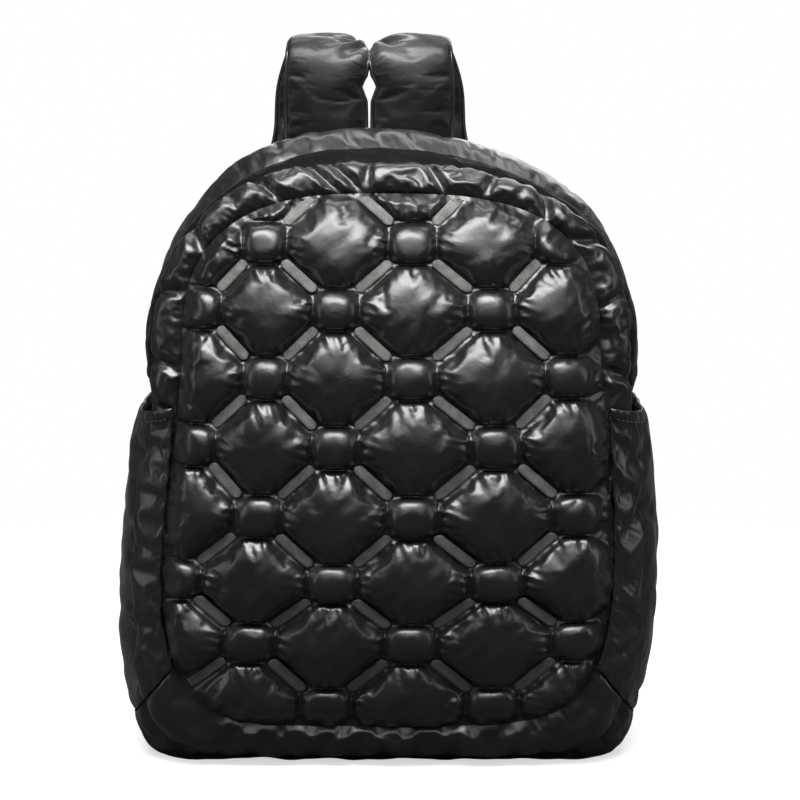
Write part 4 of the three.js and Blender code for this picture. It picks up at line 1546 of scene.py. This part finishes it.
@dataclass(frozen=True)
class StrapSizes:
    """Sizes of a shoulder strap and its webbing, mm."""

    width: float = 51
    thickness: float = 17
    bow: float = 14
    rise: float = 54
    splay: float = 64
    end_width: float = 0.72
    edge: float = 0.8
    loop_depth: float = 36
    gap: float = 5.5
    web_width: float = 20
    web_thickness: float = 1.6
    web_anchor_height: float = 26
    anchor_inset: float = 30
    tail: float = 62
    adjuster_width: float = 30
    adjuster_height: float = 26
    adjuster_thickness: float = 3.2
    adjuster_bar: float = 4
    adjuster_rounding: float = 0.8
    binding_inset: float = 1.2
    binding_half_width: float = 1.5
    binding_half_height: float = 2.7
    tab_half_width: float = 15
    tab_height: float = 22
    tab_below: float = 9
    tab_puff: float = 1
    tab_clear: float = 1.5
    tab_cloth: float = 1.2
    crest_folds: float = 2.6
    crest_gathers: float = 3.4


STRAP_LOOP = (
    (0, 0, -0.48), (0, 0, 0.07), (0, 0.0, 0.5), (-0.016, 0.09, 0.76), (-0.03, 0.45, 0.855), (0, 0.88, 0.683),
    (0.1, 1, 0.3), (0.14, 0.95, -0.28),
)
STRAP_DROP = ((0.42, 1, 0.8), (0.7, 0.6, 0.6), (1, 0.3, 0.443))
# Where along a strap its crest is, and where the small joint between the two straps is.
CREST_AT, JOINT_AT = 0.38, 0.4
# How far a strap's inner edge is pulled to the other strap, mm, by share of its length.
INNER_PULL = (
    (0, 2.2), (0.09, 1.9), (0.135, 1.7), (0.175, -1.6), (0.22, 1.6), (0.3, 2.6), (0.42, 2.6), (0.5, 0), (1, 0),
)
TAILS = {
    "right": ((0.2, 0.16, -0.3), (0.62, 0.14, -0.12), (1.12, 0, 0.3)),
    "left": ((0.02, 0.06, -0.35), (0.03, 0.04, -0.7), (0.04, 0, -1)),
}


class ShoulderStrap(Assembly):
    """A padded strap with bound edges, its ladder buckle and its webbing."""

    SEEDS = {"right": 31, "left": 32}

    def __init__(self, side: str, *shared: object, sizes: StrapSizes = StrapSizes()) -> None:
        """Lay the strap's middle line.

        Args:
            side: right or left.
            shared: what every assembly shares.
            sizes: the strap's sizes.
        """
        super().__init__(*shared)
        self.side = side
        self.hand = 1 if side == "right" else -1
        self.sizes = sizes
        body = self.shape.size
        root_x = float(self.shape.sway(body.height)) + self.hand * (sizes.width + sizes.gap) / 2
        root_y = float(self.shape.back_seat(body.height)) + sizes.thickness / 2 + 2 * body.seam_wall
        sewn_y = float(self.shape.back_face(root_x, body.height + STRAP_LOOP[0][2] * sizes.rise))
        points = [
            (root_x + self.hand * out * sizes.splay, root_y + back * sizes.loop_depth, body.height + up * sizes.rise)
            for out, back, up in STRAP_LOOP
        ]
        points[0] = (points[0][0], sewn_y + sizes.edge + body.seam_wall, points[0][2])
        for out, bow, up in STRAP_DROP:
            rest = float(self.shape.back_face(0, up * body.height))
            points.append(
                (root_x + self.hand * out * sizes.splay, rest + sizes.thickness / 2 + bow * sizes.bow, up * body.height)
            )
        self.controls = np.array(points)[:, None, :]

    def middle(self, v: Array) -> Array:
        """Points of the strap's middle line."""
        return catmull(self.controls, v)

    @staticmethod
    def heading(controls: Array, v: Array, step: float) -> Array:
        """Directions along a line of control points."""
        return unit(catmull(controls, np.clip(v + step, 0, 1)) - catmull(controls, np.clip(v - step, 0, 1)))

    def axes(self, v: Array) -> tuple[Array, Array, Array]:
        """Directions along, across and out of the flat strap."""
        along = self.heading(self.controls, v, 1e-4)
        out = unit(np.cross(np.broadcast_to([1.0, 0, 0], along.shape), along))
        return along, np.cross(along, out), out

    def half_width(self, v: Array) -> Array:
        """Half the strap's width along it."""
        return self.sizes.width / 2 * lerp(1, self.sizes.end_width, smooth(v, 0.7, 1))

    def half_thickness(self, v: Array, across: Array) -> Array:
        """Half the strap's padded thickness."""
        sizes = self.sizes
        padded = np.minimum(smooth(v, 0, 0.1), 1 - smooth(v, 0.95, 1))
        full = lerp(self.shape.size.seam_wall, sizes.thickness / 2 - sizes.edge, padded)
        return sizes.edge + full * crown((across + 1) / 2)

    def _point(self, across: Array, v: Array, off: Array) -> Array:
        """Points of the strap by share of its half width, share of its length and height off its middle."""
        _, wide, out = self.axes(v)
        return self.middle(v) + wide * (across * self.half_width(v))[:, None] + out * off[:, None]

    @staticmethod
    def _across(u: Array) -> Array:
        """Share of the half width at a share of the way round the strap: out on its front, back on its rear."""
        return np.where(u < 0.5, 1 - 4 * u, 4 * u - 3)

    def build(self) -> None:
        """Make the strap's cloth and put it on the bench."""
        sizes, shape = self.sizes, self.shape
        uneven = Ripples(self.SEEDS[self.side], 30)
        inner = -self.hand
        share = starting(0.78)

        def place(u: Array, v: Array) -> Array:
            face = np.where(u < 0.5, 1.0, -1.0)
            across = self._across(u)
            thick = self.half_thickness(v, across) * share
            thick = np.where(np.abs(across) > 0.999, 0, thick)
            base = self._point(across, v, face * thick)
            away_v = (v - JOINT_AT) / 0.085
            away_u = across - inner
            angle = np.arctan2(away_u, away_v)
            reach = np.exp(-(away_v**2) * 0.9 - (away_u**2) * 0.5)
            fold = sizes.crest_folds * reach * np.sin(angle * 7 + 0.6 * self.hand) * crown((across + 1) / 2)
            rough = uneven.at(base) * 0.3 * crown((across + 1) / 2)
            _, _, out = self.axes(v)
            inwards = np.clip(across * inner, 0, 1) ** 2
            base[:, 0] += inner * (np.interp(v, *zip(*INNER_PULL)) * inwards)
            base[:, 2] += bell(v - CREST_AT, 0.1) * (2.2 * across * self.hand - 3.2 * inwards)
            return shape.to_frame(base + out * (face * (fold + rough))[:, None], leaning=False)

        self.sheet = Loom.weave(f"strap_cloth_{self.side}", (48, 190), place, joined=True, uv_size=(0.1, 0.42))
        across, v = self._across(self.sheet.u), self.sheet.v
        held = (np.abs(across) > 0.97) | (v < 0.02) | (v > 0.985)
        joint = (np.abs(v - JOINT_AT) < 0.006) & (across * inner > 0.55)
        self.bench.add(self.sheet, (held | joint).astype(float), Inflation(8, 0.02, 3.5, 0.3))
        self._binding()
        self._webbing()
        self._adjuster()

    def _binding(self) -> None:
        """Shiny binding over both edges."""
        sizes = self.sizes
        for name, edge in (("outer", self.hand), ("inner", -self.hand)):

            def place(u: Array, v: Array, edge: int = edge) -> Array:
                angle = u * 2 * math.pi
                v = lerp(0.012, 0.99, v)
                _, wide, out = self.axes(v)
                centre = self.middle(v) + wide * (edge * (self.half_width(v) - sizes.binding_inset))[:, None]
                if edge == -self.hand:
                    centre[:, 0] += edge * np.interp(v, *zip(*INNER_PULL))
                centre[:, 2] += bell(v - CREST_AT, 0.1) * (2.2 if edge == self.hand else -5.4)
                aside = wide * (sizes.binding_half_width * np.cos(angle))[:, None]
                off = out * (sizes.binding_half_height * np.sin(angle))[:, None]
                return self.shape.to_frame(centre + aside + off, leaning=False)

            rope = Loom.weave(f"strap_binding_{self.side}_{name}", (12, 220), place, joined=True, uv_size=(0.01, 0.42))
            self.dress(rope.piece, self.finishes.shell, Slot.NYLON)

    def _buckle(self) -> tuple[Array, Array, Array, Array]:
        """The strap's end point and the directions along, across and away from the back there."""
        end = self.middle(np.array([1.0]))[0]
        along = unit(end - self.middle(np.array([0.9999]))[0])
        across = unit(np.array([1.0, 0, 0]) - along * along[0])
        out = -unit(np.cross(across, along))
        return end, along, across, out

    def _webbing(self) -> None:
        """Webbing from the lower corner, round the buckle's bar, to a loose end."""
        sizes, shape = self.sizes, self.shape
        gap = shape.size.seam_gap
        end, along, _, out = self._buckle()
        bar = end + along * (sizes.adjuster_height / 2 + gap)
        clear = sizes.adjuster_thickness / 2 + sizes.web_thickness / 2 + 1.5 * gap

        def near(down: float, away: float) -> Array:
            return bar + along * down + out * away

        foot_x = RIMS[5].low * shape.size.width - sizes.anchor_inset
        height = sizes.web_anchor_height
        anchor = np.array(
            [self.hand * foot_x, float(shape.back_face(foot_x, height)) + sizes.web_thickness / 2 + 2 * gap, height]
        )
        low = near(sizes.adjuster_height * 0.9, -clear)
        turned = near(sizes.adjuster_height / 2, clear + 1)
        points = [
            anchor, lerp(anchor, low, 0.5) + np.array([self.hand * 3, 5, 0]), low,
            near(sizes.adjuster_height / 2, -clear), near(-sizes.adjuster_bar / 2, -clear),
            near(-sizes.adjuster_bar / 2 - clear, 0), near(-sizes.adjuster_bar / 2, clear), turned,
        ]
        for outwards, back, up in TAILS[self.side]:
            points.append(turned + np.array([self.hand * outwards, back, up]) * sizes.tail)
        controls = np.array(points)[:, None, :]

        def place(u: Array, v: Array) -> Array:
            angle = u * 2 * math.pi
            wide, face = self._web_axes(v, controls)
            side = np.sign(np.cos(angle)) * np.abs(np.cos(angle)) ** 0.35 * sizes.web_width / 2
            thick = np.sign(np.sin(angle)) * np.abs(np.sin(angle)) ** 0.6 * sizes.web_thickness / 2
            points = catmull(controls, v) + wide * side[:, None] + face * thick[:, None]
            return shape.to_frame(points, leaning=False)

        web = Loom.weave(f"webbing_{self.side}", (28, 260), place, joined=True, uv_size=(0.04, 0.3))
        self.dress(web.piece, self.finishes.webbing, Slot.TAPE, [f"strap_webbing_{self.side}"])
        self._anchor_tab(anchor)

    def _web_axes(self, v: Array, controls: Array) -> tuple[Array, Array]:
        """Directions across and out of the webbing, which lies as the buckle does."""
        along = self.heading(controls, v, 1e-3)
        _, _, across, _ = self._buckle()
        out = unit(np.cross(np.broadcast_to(across, along.shape), along))
        return unit(np.cross(along, out)), out

    def _anchor_tab(self, anchor: Array) -> None:
        """The cloth tab over the webbing's sewn end."""
        shape, sizes = self.shape, self.sizes

        def place(u: Array, v: Array) -> Array:
            x = anchor[0] + (u - 0.5) * 2 * sizes.tab_half_width
            z = anchor[2] - sizes.tab_below + v * sizes.tab_height
            puff = sizes.tab_puff * crown(u) ** 0.4 * crown(v) ** 0.4
            y = shape.back_face(x, z) + sizes.tab_clear + puff + sizes.tab_cloth
            return shape.to_frame(np.stack([x, y, z], axis=1), leaning=False)

        tab = Loom.weave(f"anchor_tab_{self.side}", (16, 14), place, facing=(0, 0, 0.03))
        Loom.thicken(tab.piece, sizes.tab_cloth)
        Loom.refine(tab.piece)
        self.dress(tab.piece, self.finishes.shell, Slot.NYLON)

    def _adjuster(self) -> None:
        """A moulded ladder buckle with rounded edges."""
        sizes = self.sizes
        end, along, across, _ = self._buckle()
        place = end + along * (sizes.adjuster_height / 2 + self.shape.size.seam_gap)
        bm = bmesh.new()
        half_wide, half_high, bar = sizes.adjuster_width / 2, sizes.adjuster_height / 2, sizes.adjuster_bar
        xs = [-half_wide, -half_wide + bar, half_wide - bar, half_wide]
        zs = [-half_high, -half_high + bar, -bar / 2, bar / 2, half_high - bar, half_high]
        grid = [[bm.verts.new((x, z, 0)) for x in xs] for z in zs]
        for row in range(5):
            for col in range(3):
                if col == 1 and row in (1, 3):
                    continue
                bm.faces.new((grid[row][col], grid[row][col + 1], grid[row + 1][col + 1], grid[row + 1][col]))
        raised = bmesh.ops.extrude_face_region(bm, geom=list(bm.faces))
        top = [item for item in raised["geom"] if isinstance(item, bmesh.types.BMVert)]
        bmesh.ops.translate(bm, verts=top, vec=(0, 0, sizes.adjuster_thickness))
        bmesh.ops.translate(bm, verts=bm.verts, vec=(0, 0, -sizes.adjuster_thickness / 2))
        bmesh.ops.recalc_face_normals(bm, faces=bm.faces)
        Loom.round_edges(bm, [edge for edge in bm.edges if edge.calc_face_angle(0) > 0.5], sizes.adjuster_rounding)
        axes = [across * MM, -along * MM, np.cross(across, -along) * MM]
        spot = self.shape.to_frame(place[None], leaning=False)[0]
        piece = Loom.moulding(f"ladder_buckle_{self.side}", bm, placing(axes, spot))
        self.dress(piece, self.finishes.plastic, Slot.PLASTIC, [f"strap_adjuster_{self.side}"])

    def finish(self) -> None:
        """Refine the strap's cloth, gather it at its crest and dress it."""
        piece = self.sheet.piece
        Loom.refine(piece)
        points = Loom.positions(piece)
        crest = points[points[:, 2].argmax()]
        inner = -self.hand
        edge = (points[:, 0] * inner)[points[:, 2] > crest[2] - 0.02].max()
        inwards = (edge - points[:, 0] * inner) / MM
        down = (crest[2] - points[:, 2] + crest[1] - points[:, 1]) / MM
        away = np.hypot(inwards, down - 4)
        angle = np.arctan2(down - 4, inwards + 1)
        near = np.sin(9 * angle + 2.5 * np.sin(2.2 * angle + self.hand)) * bell(away, 24) * smooth(away, 0, 8)
        far = 0.5 * np.sin(5 * angle + 1) * bell(away, 46) * smooth(away, 6, 20)
        high = smooth(points[:, 2], crest[2] - 0.05, crest[2] - 0.025)
        lift = self.sizes.crest_gathers * (near + far) * high * smooth(inwards, 1, 6)
        Loom.move_to(piece, points + Loom.normals(piece) * lift[:, None] * MM)
        self.dress(piece, self.finishes.strap, Slot.NYLON, [f"shoulder_strap_{self.side}"], fill=0.7)


@dataclass(frozen=True)
class ZipSizes:
    """Sizes of the zip, mm."""

    tape_sunk: float = 1.4
    coil_groove: float = 0.6
    coil_width: float = 6
    coil_sunk: float = 0.4
    tooth_pitch: float = 1.6
    tooth_half: float = 0.55
    tooth_rise: float = 0.85
    slider_length: float = 11
    slider_width: float = 9
    slider_nose: float = 0.72
    slider_body: float = 3.2
    slider_clear: float = 1.2
    slider_rounding: float = 0.9
    pull_length: float = 24
    pull_width: float = 6
    pull_thickness: float = 1.5
    pull_rounding: float = 0.55
    slider_place: float = 0.485


class Zip(Assembly):
    """The zip over the top: woven tape, a coil of teeth, and its slider with a pull."""

    sizes = ZipSizes()

    def build(self) -> None:
        """Make all of the zip."""
        self._tape()
        self._teeth()
        self._slider()

    def _row(self, across: Array) -> Array:
        """Row of the skin at a share of the tape's half width."""
        return 3 + across * self.shape.size.zip_half_row

    def _tape(self) -> None:
        """The woven tape, a little deeper under its coil."""
        shape, sizes = self.shape, self.sizes
        start, stop = shape.size.zip_end, 1 - shape.size.zip_end

        def place(u: Array, v: Array) -> Array:
            share = lerp(start, stop, v)
            across = 2 * u - 1
            level = shape.side_give(share, self._row(0 * across)) - sizes.tape_sunk
            sunk = level - sizes.coil_groove * bell(across, 0.12)
            return shape.to_frame(shape.off_skin(share, self._row(across), sunk))

        tape = Loom.weave("zip_cloth", (16, 260), place, facing=(0, 0, 0.15), uv_size=(0.022, 0.5))
        self.dress(tape.piece, self.finishes.tape, Slot.TAPE, ["zip_tape"])

    def _teeth(self) -> None:
        """Two rows of coil teeth."""
        shape, sizes = self.shape, self.sizes
        share = np.linspace(shape.size.zip_end + 0.002, 1 - shape.size.zip_end - 0.002, 900)
        sunk = shape.side_give(share, 3 + 0 * share) - sizes.coil_sunk
        at, out = shape.skin_frame(share, 3 + 0 * share)
        line = at + out * sunk[:, None]
        steps = lengths(line)
        places = []
        for hand in (-1, 1):
            marks = np.arange(0.5 + (hand > 0) * sizes.tooth_pitch / 2, steps[-1] - 1, sizes.tooth_pitch)
            spots = sample(marks, steps, line)
            along = unit(sample(marks + 1, steps, line) - spots)
            side = unit(np.cross(unit(sample(marks, steps, out)), along))
            spots = shape.to_frame(spots + side * hand * sizes.coil_width * 0.22)
            for spot, a, s, up in zip(spots, along, side, np.cross(along, side)):
                axes = [a * sizes.tooth_half * MM, s * sizes.coil_width * 0.3 * MM, up * sizes.tooth_rise * MM]
                places.append(placing(axes, spot))
        form = bmesh.new()
        bmesh.ops.create_uvsphere(form, u_segments=8, v_segments=6, radius=1)
        teeth = Loom.stamp("zip_teeth", form, places)
        self.dress(teeth, self.finishes.coil, Slot.PLASTIC)

    def _slider(self) -> None:
        """The slider and its pull, which lies along the zip."""
        shape, sizes = self.shape, self.sizes
        spot = np.array([sizes.slider_place])
        at, out = shape.skin_frame(spot, 3.0)
        ahead = shape.skin(spot + 0.024, 3.0)[0]
        out = out[0]
        along = ahead - at[0]
        along = unit(along - out * (along @ out))
        side = np.cross(out, along)
        seat = at[0] + out * (sizes.slider_clear + float(shape.side_give(spot, 3.0)[0]))
        bm = bmesh.new()
        bmesh.ops.create_cube(bm, size=1)
        for vert in bm.verts:
            x, y, z = vert.co
            narrow = sizes.slider_nose if x > 0 else 1
            high = z * sizes.slider_body + sizes.slider_body / 2
            vert.co = (x * sizes.slider_length, y * sizes.slider_width * narrow, high)
        Loom.round_edges(bm, list(bm.edges), sizes.slider_rounding)
        self._pull(bm)
        axes = [along * MM, side * MM, out * MM]
        piece = Loom.moulding("slider_and_pull", bm, placing(axes, shape.to_frame(seat[None])[0]))
        self.dress(piece, self.finishes.plastic, Slot.PLASTIC, ["zip_slider"])

    def _pull(self, bm: bmesh.types.BMesh) -> None:
        """Add the pull's bridge and its plate to the slider's mesh."""
        sizes = self.sizes
        bridge = (6.5, 2.6, 1.6, 0.5, 3.6)
        plate_start = sizes.slider_length / 2 + 1.5
        plate = (sizes.pull_length - 3, sizes.pull_width, sizes.pull_thickness, plate_start, 2.8)
        for length, width, thick, start, lift in (bridge, plate):
            made = bmesh.ops.create_cube(bm, size=1)["verts"]
            for vert in made:
                x, y, z = vert.co
                vert.co = (start + (x + 0.5) * length, y * width, lift + z * thick)
            Loom.round_edges(bm, list({edge for vert in made for edge in vert.link_edges}), sizes.pull_rounding)


# ---------------------------------------------------------------- studio


@dataclass(frozen=True)
class Lamp:
    """A rectangular lamp: its power in watts, its size in metres, where it stands and what it is aimed at."""

    name: str
    power: float
    size: tuple[float, float]
    spot: tuple[float, float, float]
    aim: tuple[float, float, float]


LAMPS = (
    Lamp("key", 50, (1.4, 0.6), (-0.1, -0.66, 1.45), (0, 0, 0.22)),
    Lamp("top", 8, (1.4, 0.3), (0.1, 0.5, 1.5), (0, 0.02, 0.3)),
    Lamp("front", 10, (1.8, 0.7), (0, -1.8, 1.3), (0, 0, 0.15)),
    Lamp("rear", 16, (1.6, 0.8), (0.3, 1.7, 1.2), (0, 0, 0.25)),
    Lamp("side_left", 2.5, (0.3, 1.0), (-1.4, -0.5, 0.6), (0, 0, 0.2)),
    Lamp("side_right", 2.5, (0.3, 1.0), (1.4, -0.4, 0.6), (0, 0, 0.2)),
)


class Studio:
    """A wide pale floor, soft lamps and the camera."""

    TARGET = (0.0072, 0.0, 0.218)
    DISTANCE = 1.7
    ELEVATION = 10.0
    VIEW_WIDTH = 0.5
    FLOOR_HALF = 15
    FLOOR_TONES = ((0.3, (0.42, 0.42, 0.42)), (0.7, (0.45, 0.45, 0.45)))
    FLOOR_GLOW = 0.62
    WHITE_FROM, WHITE_AT = 0.3, 0.7
    DIM = 0.06

    def build(self) -> None:
        """Make the studio."""
        self._camera()
        self._backdrop()
        self._lights()

    @staticmethod
    def _aim(thing: bpy.types.Object, spot: Vector, target: Vector) -> None:
        """Put a lamp or camera at a spot and turn it to its target."""
        thing.location = spot
        thing.rotation_euler = (target - spot).to_track_quat("-Z", "Y").to_euler()

    def _camera(self) -> None:
        """The camera at the photograph's angle."""
        camera = Loom.link("camera", bpy.data.cameras.new("camera"))
        tilt = math.radians(self.ELEVATION)
        target = Vector(self.TARGET)
        self._aim(camera, target + Vector((0, -math.cos(tilt), math.sin(tilt))) * self.DISTANCE, target)
        camera.data.lens = camera.data.sensor_width * self.DISTANCE / self.VIEW_WIDTH
        camera.data.clip_start = 0.01
        bpy.context.scene.camera = camera

    def _backdrop(self) -> None:
        """A wide floor that turns pure white with distance for the camera and is dim for all other light."""
        bench = NodeBench("pale_paper")

        def glow(strength: float) -> bpy.types.NodeSocket:
            """White light of its own."""
            inputs = {"Color": (1, 1, 1, 1), "Strength": strength}
            return bench.node("ShaderNodeEmission", inputs).outputs["Emission"]

        color = bench.ramp(bench.noise(1.5, 2), self.FLOOR_TONES)
        paper = bench.finish(color, 0.9, bench.bump(bench.noise(300, 2), 0.0001, 0.3))
        seen = bench.node("ShaderNodeLightPath").outputs["Is Camera Ray"]
        dim = bench.node("ShaderNodeBsdfDiffuse", {"Color": (self.DIM, self.DIM, self.DIM, 1)}).outputs["BSDF"]
        surface = bench.shader.outputs["BSDF"]
        near = bench.node("ShaderNodeAddShader", {0: surface, 1: glow(self.FLOOR_GLOW)}).outputs["Shader"]
        spot = bench.coords.outputs["Object"]
        away = bench.node("ShaderNodeVectorMath", {0: spot}, operation="LENGTH").outputs["Value"]
        share = bench.spread(away, self.WHITE_FROM, self.WHITE_AT, 0, 1)
        lit = bench.node("ShaderNodeMixShader", {0: share, 1: near, 2: glow(1.0)}).outputs["Shader"]
        both = bench.node("ShaderNodeMixShader", {0: seen, 1: dim, 2: lit}).outputs["Shader"]
        bench.tree.links.new(both, bench.tree.nodes["Material Output"].inputs["Surface"])
        half = self.FLOOR_HALF

        def place(u: Array, v: Array) -> Array:
            return np.stack([lerp(-half, half, u), lerp(-half, half, v), np.zeros_like(u)], axis=1)

        floor = Loom.weave("studio_paper", (6, 6), place, facing=(0, 0, -1))
        floor.piece.data.materials.append(paper)

    def _lights(self) -> None:
        """The lamps, and a surround that is white for the camera and dim for all other light."""
        for lamp in LAMPS:
            data = bpy.data.lights.new(lamp.name, "AREA")
            data.shape = "RECTANGLE"
            data.size, data.size_y = lamp.size
            data.energy = lamp.power
            self._aim(Loom.link(lamp.name, data), Vector(lamp.spot), Vector(lamp.aim))
        world = bpy.data.worlds.new("surround")
        world.use_nodes = True
        nodes, links = world.node_tree.nodes, world.node_tree.links
        surround = nodes["Background"]
        surround.inputs["Color"].default_value = (1, 1, 1, 1)
        seen = nodes.new("ShaderNodeLightPath").outputs["Is Camera Ray"]
        strength = nodes.new("ShaderNodeMapRange")
        strength.inputs["To Min"].default_value = self.DIM
        strength.inputs["To Max"].default_value = 1.0
        links.new(seen, strength.inputs["Value"])
        links.new(strength.outputs["Result"], surround.inputs["Strength"])
        bpy.context.scene.world = world
        bpy.context.scene.view_settings.view_transform = "Standard"


def main() -> None:
    """Build the bag piece by piece."""
    logging.basicConfig(level=logging.INFO, format="%(name)s: %(message)s")
    Studio().build()
    shape = BagShape(BodySizes())
    shared = (shape, Finishes(), ClothBench())
    assemblies: list[Assembly] = [
        QuiltedFront(*shared),
        BodyWalls(*shared),
        BackPanel(*shared),
        SidePocket("right", *shared),
        SidePocket("left", *shared),
        ShoulderStrap("right", *shared),
        ShoulderStrap("left", *shared),
        Zip(*shared),
    ]
    for assembly in assemblies:
        assembly.build()
        LOG.info("%s built", type(assembly).__name__)
    shared[2].run()
    for assembly in assemblies:
        assembly.finish()


if __name__ == "__main__":
    main()
